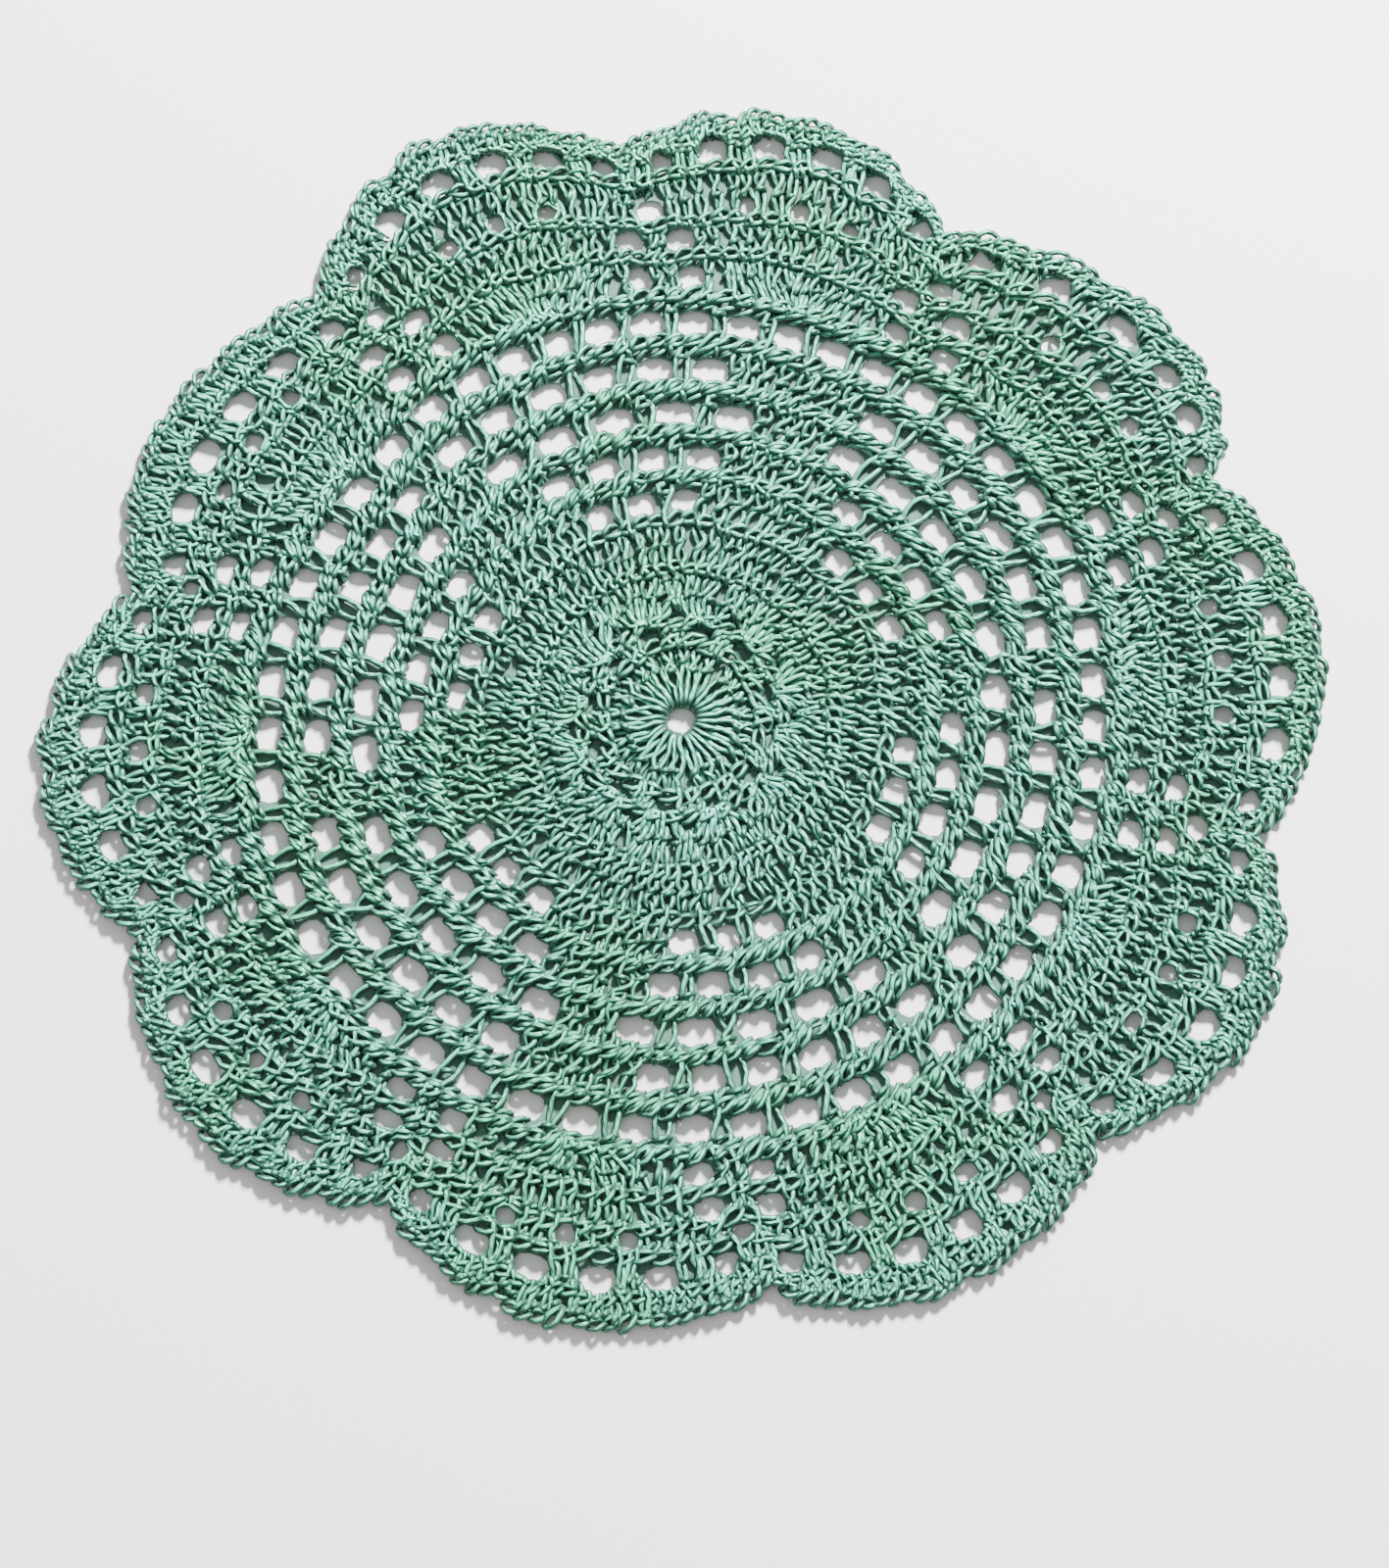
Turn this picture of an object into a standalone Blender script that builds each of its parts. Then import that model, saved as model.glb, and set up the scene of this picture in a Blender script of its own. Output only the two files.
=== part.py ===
"""A round lace doily, crocheted outwards in one piece from a small ring, lying flat.

Rounds of solid stitches and of open mesh are set out on circles, and ten fans with an edging stand round them.
Every gap wider than 4 mm is cut through. Units are metres, the doily lies on z = 0, and the origin is below the
middle of its outline. Angles are clock angles in degrees, clockwise from +Y as seen from above.
"""

import math
from collections import namedtuple

import bmesh
import bpy
from mathutils.geometry import delaunay_2d_cdt

MM = 0.001

# The cloth: its thickness at a gap's rim and in solid stitches, and how far a crest stands over that.
RIM_THICK = 2.2 * MM
SOLID_THICK = 2.7 * MM
CREST = 0.35 * MM
# A gap's inner and outer ends, as a share of its full width.
NARROW_END = 0.62

# The centre: the ring that it starts from, a rosette of long stitches, a chain round, shells and a solid round.
RING_HOLE = 2.6 * MM
RING_SIDES = 12
ROSETTE = 15.5 * MM
ROSETTE_RIBS = 24
CHAIN_ROUND = 19.0 * MM
SHELL_ROUND = 30.5 * MM
SHELLS = 12
SOLID_ROUND = 40.8 * MM

# Mesh rounds with a solid wedge between one group of gaps and the next: where the gaps stand, their size, how
# many are in a group and how far apart, and the middle of each of the six groups, as the cloth is pulled.
Mesh = namedtuple("Mesh", "radius gap_width gap_depth gaps pitch_deg middles_deg")
MESH_ROUNDS = (
    Mesh(44.7 * MM, 5.0 * MM, 4.4 * MM, 3, 10.9, (54.0, 108.5, 168.5, 228.0, 288.0, 350.0)),
    Mesh(53.4 * MM, 6.0 * MM, 4.8 * MM, 4, 10.4, (53.0, 107.0, 168.0, 227.5, 287.0, 349.0)),
    Mesh(62.5 * MM, 7.0 * MM, 5.4 * MM, 5, 10.8, (52.5, 106.0, 166.5, 227.0, 285.5, 348.0)),
    Mesh(71.8 * MM, 6.6 * MM, 5.2 * MM, 6, 8.6, (54.0, 109.0, 163.0, 230.0, 289.0, 343.0)),
)
# In a wedge, two crests stand this far from its middle, as a share of the pitch, and past the ends of the gaps.
WEDGE_RIB_SHARE = 0.2
WEDGE_RIB_PAST = 2.0 * MM
# The last mesh round has no wedges: five gaps stand under each fan.
LAST_MESH = 81.6 * MM
LAST_MESH_GAP = (6.4 * MM, 5.2 * MM)
GAPS_UNDER_FAN = 5
FAN_BASE = 87.0 * MM

# One row for each scallop. The clock angles: where the line between its fan and the next starts, its own tip,
# and the notch after it. The distances: how far out the tip and the notch are, and how wide the edging is from
# the middle of its gaps. Last, the power that shapes its dome, where less is fuller.
Scallop = namedtuple("Scallop", "foot_deg tip_deg notch_deg crown notch edging power")
SCALLOPS = (
    Scallop(31.5, 10.1, 27.0, 131.2 * MM, 115.2 * MM, 8.6 * MM, 0.84),
    Scallop(67.0, 51.5, 64.5, 128.4 * MM, 116.4 * MM, 8.2 * MM, 0.76),
    Scallop(101.0, 82.6, 102.0, 126.4 * MM, 113.2 * MM, 8.6 * MM, 0.80),
    Scallop(138.0, 118.0, 136.5, 126.0 * MM, 113.0 * MM, 8.8 * MM, 0.76),
    Scallop(174.5, 154.0, 171.0, 123.0 * MM, 111.4 * MM, 10.0 * MM, 0.60),
    Scallop(212.5, 190.6, 210.0, 120.6 * MM, 109.4 * MM, 9.6 * MM, 0.66),
    Scallop(249.5, 229.0, 247.5, 122.8 * MM, 112.4 * MM, 9.6 * MM, 0.83),
    Scallop(287.0, 265.0, 283.5, 125.0 * MM, 111.0 * MM, 10.4 * MM, 0.86),
    Scallop(326.5, 302.0, 321.0, 121.4 * MM, 116.0 * MM, 11.0 * MM, 1.00),
    Scallop(358.5, 338.5, 354.0, 134.0 * MM, 122.6 * MM, 10.0 * MM, 0.96),
)
# The edging's shells bulge out past the dome and dip in between them, less beside a notch.
SHELL_BUMPS = 6
BUMP_HEIGHT = 1.5 * MM
BUMP_MIDDLE = 0.6
BUMP_FADE = 3.0
OUTLINE_STEPS = 24

# Rows of the fan zone, as shares of the way from the fans' base to the outline, and the gaps cut in each:
# where they stand across the scallop, from notch (0) to notch (1), and their size.
FanRow = namedtuple("FanRow", "middle gap_places gap_width gap_depth")
FAN_ROWS = (
    FanRow(0.12, (0.1, 0.9), 5.2 * MM, 4.8 * MM),
    FanRow(0.35, (0.09, 0.91), 5.4 * MM, 4.8 * MM),
    FanRow(0.56, (0.02,), 4.6 * MM, 4.2 * MM),
    FanRow(0.51, (0.33, 0.5, 0.67), 4.6 * MM, 4.2 * MM),
)
# The edging has a gap behind each of its shells, smaller beside the notches.
EdgeGaps = namedtuple("EdgeGaps", "gap_places gap_width gap_depth")
EDGE_GAPS = (
    EdgeGaps((0.25, 0.415, 0.585, 0.75), 6.8 * MM, 5.0 * MM),
    EdgeGaps((0.085, 0.915), 5.0 * MM, 4.4 * MM),
)
LEAN_STEP = 0.05
# The two solid rows of a fan: the middle of each, and how far its stitches spread to either side.
FAN_RIBS = 9
FAN_RIB_ROWS = ((0.12, 0.2), (0.35, 0.27))
RIB_ROW_LINE = 0.1

# How far the cloth is pulled out of round at every 30 degrees of the clock, measured where PULL_AT is.
PULL = tuple(mm * MM for mm in (2.1, 1.0, 1.2, -1.4, -1.3, -0.6, -0.6, 0.2, 1.0, -1.5, -2.8, 0.9))
PULL_AT = 82.0 * MM

THREAD_GREEN = (0.27, 0.55, 0.42, 1.0)
THREAD_ROUGHNESS = 0.6


def smooth(share):
    """0 to 1 with no corner at either end."""
    return share * share * (3 - 2 * share)


def pulled(angle, radius):
    """The radius that a round has at a clock angle, out of round as the cloth lies."""
    place = (angle % 360) / 360 * len(PULL)
    before = int(place) % len(PULL)
    after = (before + 1) % len(PULL)
    share = smooth(place - int(place))
    pull = PULL[before] * (1 - share) + PULL[after] * share
    return radius + pull * radius / PULL_AT


def on_clock(angle, radius):
    """The flat point at a clock angle and a distance from the centre of the rounds."""
    return (radius * math.sin(math.radians(angle)), radius * math.cos(math.radians(angle)))


def turned_to(angle, near):
    """The same clock angle, within half a turn of another."""
    return near + (angle - near + 180) % 360 - 180


def scallop_angle(index, across, out):
    """The clock angle at a place across a scallop (0 to 1) and out from its base (0) to the edge (1)."""
    here = SCALLOPS[index]
    before = SCALLOPS[index - 1]
    right_foot = turned_to(here.foot_deg, here.tip_deg)
    left_foot = turned_to(before.foot_deg, here.tip_deg)
    left = (1 - out) * left_foot + out * turned_to(before.notch_deg, here.tip_deg)
    right = (1 - out) * right_foot + out * turned_to(here.notch_deg, here.tip_deg)
    middle = (1 - out) * (left_foot + right_foot) / 2 + out * here.tip_deg
    if across < 0.5:
        return left + (middle - left) * 2 * across
    return middle + (right - middle) * (2 * across - 1)


def edge_radius(index, across):
    """How far the outline reaches: a dome from notch to notch with a small bump for each shell of the edging."""
    here = SCALLOPS[index]
    low = SCALLOPS[index - 1].notch if across < 0.5 else here.notch
    dome = max(0.0, math.sin(math.pi * across)) ** here.power
    bump = abs(math.sin(math.pi * SHELL_BUMPS * across)) - BUMP_MIDDLE
    fade = smooth(min(1.0, BUMP_FADE * dome))
    return low + (here.crown - low) * dome + BUMP_HEIGHT * bump * fade


def in_scallop(index, across, out):
    """The flat point at a place across a scallop and out from its base; a place below 0 is in the one before."""
    if across < 0:
        return in_scallop((index - 1) % len(SCALLOPS), across + 1, out)
    angle = scallop_angle(index, across, out)
    base = pulled(angle, FAN_BASE)
    return on_clock(angle, base + (edge_radius(index, across) - base) * out)


def gap_at(middle, width, depth, turn=0.0):
    """The six corners of a gap that faces outwards, from its middle; turn swings it clockwise, in degrees."""
    facing = math.degrees(math.atan2(middle[0], middle[1])) + turn
    out = on_clock(facing, 1.0)
    side = (out[1], -out[0])
    corners = []
    for across, along in (
        (-1, 0),
        (-NARROW_END, -1),
        (NARROW_END, -1),
        (1, 0),
        (NARROW_END, 1),
        (-NARROW_END, 1),
    ):
        x = middle[0] + side[0] * across * width / 2 + out[0] * along * depth / 2
        y = middle[1] + side[1] * across * width / 2 + out[1] * along * depth / 2
        corners.append((x, y))
    return corners


def ring_gap():
    """The small hole in the middle."""
    return [on_clock(-360 * i / RING_SIDES, RING_HOLE) for i in range(RING_SIDES)]


def wedge_mesh_gaps():
    """The gaps of the rounds that have solid wedges between six groups of mesh."""
    gaps = []
    for mesh in MESH_ROUNDS:
        for middle in mesh.middles_deg:
            for i in range(mesh.gaps):
                angle = middle + (i - (mesh.gaps - 1) / 2) * mesh.pitch_deg
                place = on_clock(angle, pulled(angle, mesh.radius))
                gaps.append(gap_at(place, mesh.gap_width, mesh.gap_depth))
    return gaps


def last_mesh_gaps():
    """The gaps of the last mesh round, which spread with the fans that stand on it."""
    gaps = []
    for index in range(len(SCALLOPS)):
        for i in range(GAPS_UNDER_FAN):
            angle = scallop_angle(index, (i + 0.5) / GAPS_UNDER_FAN, 0)
            place = on_clock(angle, pulled(angle, LAST_MESH))
            gaps.append(gap_at(place, *LAST_MESH_GAP))
    return gaps


def edge_lean(index, across, out):
    """How far clockwise of outwards the edging faces at a place across a scallop, in degrees."""
    ahead = in_scallop(index, across + LEAN_STEP, out)
    behind = in_scallop(index, across - LEAN_STEP, out)
    middle = in_scallop(index, across, out)
    run = math.degrees(math.atan2(ahead[0] - behind[0], ahead[1] - behind[1])) - 90
    return turned_to(run - math.degrees(math.atan2(middle[0], middle[1])), 0)


def fan_zone_gaps():
    """The gaps beside and in the fans, and the larger ones behind the edging."""
    gaps = []
    for index, scallop in enumerate(SCALLOPS):
        for row in FAN_ROWS:
            for across in row.gap_places:
                gaps.append(gap_at(in_scallop(index, across, row.middle), row.gap_width, row.gap_depth))
        out = 1 - scallop.edging / (scallop.crown - FAN_BASE)
        for row in EDGE_GAPS:
            for across in row.gap_places:
                place = in_scallop(index, across, out)
                lean = edge_lean(index, across, out)
                gaps.append(gap_at(place, row.gap_width, row.gap_depth, lean))
    return gaps


def outline():
    """The outer edge, scallop by scallop, anticlockwise."""
    points = []
    for index in range(len(SCALLOPS)):
        points += [in_scallop(index, i / OUTLINE_STEPS, 1.0) for i in range(OUTLINE_STEPS)]
    return points[::-1]


def ring_points(radius, count, heights, start=0.0):
    """Points round a circle as (x, y, height), with the heights taking turns."""
    points = []
    for i in range(count):
        angle = start + 360 * i / count
        x, y = on_clock(angle, pulled(angle, radius))
        points.append((x, y, heights[i % len(heights)]))
    return points


def centre_relief():
    """The ribs of the rosette, the raised chain rounds and the twelve shells."""
    crest, valley = SOLID_THICK + CREST, SOLID_THICK - CREST
    shell_turn = 360 / SHELLS / 2
    return (
        ring_points(0.3 * ROSETTE, 2 * ROSETTE_RIBS, (SOLID_THICK, valley))
        + ring_points(0.85 * ROSETTE, 2 * ROSETTE_RIBS, (crest, valley))
        + ring_points(ROSETTE, SHELLS * 2, (crest,))
        + ring_points((ROSETTE + CHAIN_ROUND) / 2, SHELLS * 2, (valley,))
        + ring_points(CHAIN_ROUND, SHELLS * 2, (crest,))
        + ring_points((CHAIN_ROUND + SHELL_ROUND) / 2, SHELLS * 2, (crest, valley), shell_turn)
        + ring_points(SHELL_ROUND, SHELLS * 2, (crest,), shell_turn)
        + ring_points((SHELL_ROUND + SOLID_ROUND) / 2, SHELLS * 3, (valley,))
        + ring_points(SOLID_ROUND, SHELLS * 3, (crest,))
    )


def wedge_relief():
    """Crests and valleys of the solid wedges between the groups of mesh."""
    points = []
    for mesh in MESH_ROUNDS:
        past_gaps = mesh.radius + mesh.gap_depth / 2 + WEDGE_RIB_PAST
        beside = mesh.pitch_deg * WEDGE_RIB_SHARE
        for group, middle in enumerate(mesh.middles_deg):
            before = turned_to(mesh.middles_deg[group - 1], middle)
            wedge = (middle + before) / 2
            for angle in (wedge - beside, wedge + beside):
                for radius, height in (
                    (mesh.radius, SOLID_THICK - CREST),
                    (past_gaps, SOLID_THICK + CREST),
                ):
                    x, y = on_clock(angle, pulled(angle, radius))
                    points.append((x, y, height))
    return points


def fan_relief():
    """The ribs that spread in each fan, row by row, with a raised line between two rows."""
    points = []
    for index in range(len(SCALLOPS)):
        for middle, spread in FAN_RIB_ROWS:
            for i in range(FAN_RIBS):
                across = 0.5 + spread * (2 * i / (FAN_RIBS - 1) - 1)
                x, y = in_scallop(index, across, middle)
                points.append((x, y, SOLID_THICK + (CREST if i % 2 == 0 else -CREST)))
            for i in range(FAN_RIBS // 2):
                across = 0.5 + spread * (2 * (i + 0.5) / (FAN_RIBS // 2) - 1)
                x, y = in_scallop(index, across, middle + RIB_ROW_LINE)
                points.append((x, y, SOLID_THICK + CREST))
    return points


def flat_region(edge, gaps, inner_points):
    """Triangles between the edge and the gaps, through the inner points too. Every loop runs anticlockwise."""
    points, faces = [], []
    for loop in [edge, *gaps]:
        faces.append(list(range(len(points), len(points) + len(loop))))
        points += loop
    points += [(x, y) for x, y, _ in inner_points]
    made_points, _, made_faces, _, _, face_sources = delaunay_2d_cdt(points, [], faces, 1, 1e-7)
    kept = [face for face, sources in zip(made_faces, face_sources) if sources == [0]]
    return made_points, kept


def doily_mesh(edge, gaps, relief):
    """One closed body: a flat underside, walls round the edge and every gap, and a top with its relief."""
    under_points, under = flat_region(edge, gaps, [])
    top_points, top = flat_region(edge, gaps, relief)
    rim = sum(len(loop) for loop in [edge, *gaps])
    heights = [RIM_THICK] * rim + [height for _, _, height in relief]
    shape = bmesh.new()
    low = [shape.verts.new((x, y, 0)) for x, y in under_points]
    high = [shape.verts.new((x, y, z)) for (x, y), z in zip(top_points, heights)]
    for triangle in under:
        shape.faces.new([low[i] for i in reversed(triangle)])
    for triangle in top:
        shape.faces.new([high[i] for i in triangle])
    first = 0
    for loop in [edge, *gaps]:
        for i in range(len(loop)):
            a = first + i
            b = first + (i + 1) % len(loop)
            shape.faces.new((low[a], low[b], high[b], high[a]))
        first += len(loop)
    bmesh.ops.recalc_face_normals(shape, faces=shape.faces)
    for corner in [c for c in shape.verts if not c.link_faces]:
        shape.verts.remove(corner)
    mesh = bpy.data.meshes.new("doily")
    shape.to_mesh(mesh)
    shape.free()
    return mesh


def thread_material():
    """Glossed cotton thread, green."""
    material = bpy.data.materials.new("green cotton thread")
    material.use_nodes = True
    shader = material.node_tree.nodes["Principled BSDF"]
    shader.inputs["Base Color"].default_value = THREAD_GREEN
    shader.inputs["Roughness"].default_value = THREAD_ROUGHNESS
    shader.inputs["Metallic"].default_value = 0.0
    return material


def centred(mesh, edge):
    """Moves the mesh so that the middle of its outline's box is at x = y = 0."""
    for axis in (0, 1):
        values = [point[axis] for point in edge]
        middle = (min(values) + max(values)) / 2
        for vertex in mesh.vertices:
            vertex.co[axis] -= middle


def main():
    for obj in list(bpy.data.objects):
        bpy.data.objects.remove(obj)
    edge = outline()
    gaps = [ring_gap(), *wedge_mesh_gaps(), *last_mesh_gaps(), *fan_zone_gaps()]
    relief = centre_relief() + wedge_relief() + fan_relief()
    mesh = doily_mesh(edge, gaps, relief)
    centred(mesh, edge)
    mesh.materials.append(thread_material())
    doily = bpy.data.objects.new("doily", mesh)
    bpy.context.scene.collection.objects.link(doily)


main()
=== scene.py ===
"""The looks of a round lace doily, laid stitch by stitch in green cotton thread.

The doily's solid is a flat sheet with its outline and its larger gaps. This script repeats that plan,
sets every stitch of every round on it as a line of thread, and spins the lines into round thread with
a node tree.

Plan lengths are millimetres, measured from the centre of the rounds. Angles are clock angles in degrees,
clockwise from +Y as seen from above. Meshes are made in metres, in the frame of the solid.
"""

import logging
import math
import random
from dataclasses import dataclass, field
from enum import Enum

import bmesh
import bpy
import numpy as np
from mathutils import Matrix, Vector
from mathutils.geometry import delaunay_2d_cdt


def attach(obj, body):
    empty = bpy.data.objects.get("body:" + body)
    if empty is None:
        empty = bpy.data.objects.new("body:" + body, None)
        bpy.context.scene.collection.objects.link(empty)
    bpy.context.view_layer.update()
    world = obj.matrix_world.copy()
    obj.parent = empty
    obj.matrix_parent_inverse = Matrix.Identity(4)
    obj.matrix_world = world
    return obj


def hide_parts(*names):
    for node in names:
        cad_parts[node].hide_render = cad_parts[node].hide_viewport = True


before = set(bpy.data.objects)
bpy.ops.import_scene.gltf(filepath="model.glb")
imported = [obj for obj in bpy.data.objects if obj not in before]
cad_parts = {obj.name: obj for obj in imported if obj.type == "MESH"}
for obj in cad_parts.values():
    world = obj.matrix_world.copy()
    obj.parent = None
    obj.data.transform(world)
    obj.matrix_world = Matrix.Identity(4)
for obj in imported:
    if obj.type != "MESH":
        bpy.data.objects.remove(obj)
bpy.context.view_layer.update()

LOG = logging.getLogger("doily")
MM = 0.001
BODY = "root"
SOLID = "doily"
RIM_CLEAR = 0.8
MESH_SLANT = 0.95
MESH_SLANT_SPREAD = 0.42
EDGING_STEPS = 5

Point = tuple[float, float]
Place = tuple[float, float, float]
Colour = tuple[float, float, float, float]
Fed = str | float | Place | Colour | bpy.types.Material | bpy.types.NodeSocket


def smooth(share: float) -> float:
    """Eases a share from 0 to 1, so that it has no corner at either end."""
    return share * share * (3 - 2 * share)


def on_clock(angle: float, radius: float) -> Point:
    """Finds the flat point at a clock angle and a distance from the centre of the rounds."""
    return (radius * math.sin(math.radians(angle)), radius * math.cos(math.radians(angle)))


def turned_to(angle: float, near: float) -> float:
    """Writes a clock angle so that it lies within half a turn of another."""
    return near + (angle - near + 180) % 360 - 180


@dataclass(frozen=True)
class Bench:
    """A bench that the nodes of one tree are put together on."""

    tree: bpy.types.NodeTree

    def feed(self, node: bpy.types.Node, inputs: dict[str | int, Fed]) -> None:
        """Fills a node's inputs.

        Args:
            node: the node.
            inputs: for each input, by name or number, its value or the output that leads to it.
        """
        for name, value in inputs.items():
            if isinstance(value, bpy.types.NodeSocket):
                self.tree.links.new(value, node.inputs[name])
            else:
                node.inputs[name].default_value = value

    def add(self, kind: str, inputs: dict[str | int, Fed] | None = None, **choices: str) -> bpy.types.Node:
        """Adds a node.

        Args:
            kind: the kind of node.
            inputs: what its inputs are fed with.
            choices: its own settings, made before its inputs are filled.

        Returns:
            The node.
        """
        node = self.tree.nodes.new(kind)
        for choice, value in choices.items():
            setattr(node, choice, value)
        self.feed(node, inputs or {})
        return node

    def sum_of(self, operation: str, *values: Fed) -> bpy.types.NodeSocket:
        """Works out one sum from its values, in their order."""
        return self.add("ShaderNodeMath", dict(enumerate(values)), operation=operation).outputs[0]

    def share_of(self, value: Fed, low: float, high: float, **choices: str) -> bpy.types.NodeSocket:
        """Turns a value from low to high into a share from 0 to 1."""
        inputs = {"Value": value, "From Min": low, "From Max": high}
        return self.add("ShaderNodeMapRange", inputs, **choices).outputs["Result"]

    def mix(self, share: Fed, first: Fed, second: Fed) -> bpy.types.NodeSocket:
        """Mixes two colours by a share."""
        inputs = {"Factor": share, "A": first, "B": second}
        return self.add("ShaderNodeMix", inputs, data_type="RGBA").outputs["Result"]

    def noise(self, place: Fed, scale: float, detail: float) -> bpy.types.NodeSocket:
        """Lays a noise over the piece."""
        inputs = {"Vector": place, "Scale": scale, "Detail": detail}
        return self.add("ShaderNodeTexNoise", inputs).outputs["Fac"]

    def relief(self, height: Fed, strength: float, depth: float) -> bpy.types.NodeSocket:
        """Raises a fine relief from a height."""
        inputs = {"Height": height, "Strength": strength, "Distance": depth}
        return self.add("ShaderNodeBump", inputs).outputs["Normal"]

    def split(self, vector: Fed) -> bpy.types.Node:
        """Splits a vector into its X, Y and Z."""
        return self.add("ShaderNodeSeparateXYZ", {0: vector})

    def note(self, name: str, output: str = "Fac") -> bpy.types.NodeSocket:
        """Reads an attribute of the piece."""
        return self.add("ShaderNodeAttribute", attribute_name=name).outputs[output]

    def keep(self, geometry: Fed, kind: str, name: str, value: Fed) -> bpy.types.Node:
        """Keeps a value with the points of a geometry.

        Args:
            geometry: the geometry.
            kind: the kind of value.
            name: what it is kept as.
            value: the value.

        Returns:
            The node, which has the geometry and the kept value as outputs.
        """
        node = self.add("GeometryNodeCaptureAttribute", domain="POINT")
        node.capture_items.new(kind, name)
        self.feed(node, {"Geometry": geometry, name: value})
        return node

    def store(self, geometry: Fed, kind: str, name: str, value: Fed) -> bpy.types.NodeSocket:
        """Stores a value on the points of a geometry, as an attribute that a finish can read.

        Args:
            geometry: the geometry.
            kind: the kind of value.
            name: the attribute's name.
            value: the value.

        Returns:
            The output that leads to the geometry.
        """
        inputs = {"Geometry": geometry, "Name": name, "Value": value}
        node = self.add("GeometryNodeStoreNamedAttribute", inputs, data_type=kind, domain="POINT")
        return node.outputs["Geometry"]


def bare_material(
    name: str, surface: dict[str | int, Fed]
) -> tuple[bpy.types.Material, Bench, bpy.types.Node]:
    """Starts a material.

    Args:
        name: its name.
        surface: what its shader's inputs are fed with.

    Returns:
        The material, a bench for its nodes, and its shader.
    """
    material = bpy.data.materials.new(name)
    material.use_nodes = True
    bench = Bench(material.node_tree)
    shader = material.node_tree.nodes["Principled BSDF"]
    bench.feed(shader, surface)
    return material, bench, shader


@dataclass(frozen=True)
class Gap:
    """One gap of the lace, a rounded hexagon that faces away from the centre."""

    middle: Point
    width: float
    depth: float
    facing: float
    narrow_end: float = 0.62

    def axes(self) -> tuple[Point, Point]:
        """The directions across the gap and along it, away from the centre."""
        out = on_clock(self.facing, 1.0)
        return (out[1], -out[0]), out

    def corners(self, grow: float) -> list[Point]:
        """Works out the six corners.

        Args:
            grow: how much wider the gap is made on each side.

        Returns:
            The corners, turning anticlockwise round a gap as its solid has it.
        """
        side, out = self.axes()
        half_width = self.width / 2 + grow
        half_depth = self.depth / 2 + grow
        end = self.narrow_end
        points = []
        for across, along in ((-1, 0), (-end, -1), (end, -1), (1, 0), (end, 1), (-end, 1)):
            x = self.middle[0] + side[0] * across * half_width + out[0] * along * half_depth
            y = self.middle[1] + side[1] * across * half_width + out[1] * along * half_depth
            points.append((x, y))
        return points


@dataclass(frozen=True)
class MeshRound:
    """A round of open mesh with a solid wedge between one group of gaps and the next."""

    radius: float
    gap_width: float
    gap_depth: float
    gaps: int
    pitch: float
    middles: tuple[float, ...]


@dataclass(frozen=True)
class Scallop:
    """One scallop of the edge: clock angles of its foot, tip and notch, and how far out they are."""

    foot: float
    tip: float
    notch: float
    crown: float
    notch_radius: float
    edging: float
    power: float


@dataclass(frozen=True)
class GapRow:
    """A row of gaps in a scallop: how far out, the places across it, and the gaps' size."""

    out: float
    places: tuple[float, ...]
    width: float
    depth: float


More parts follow.
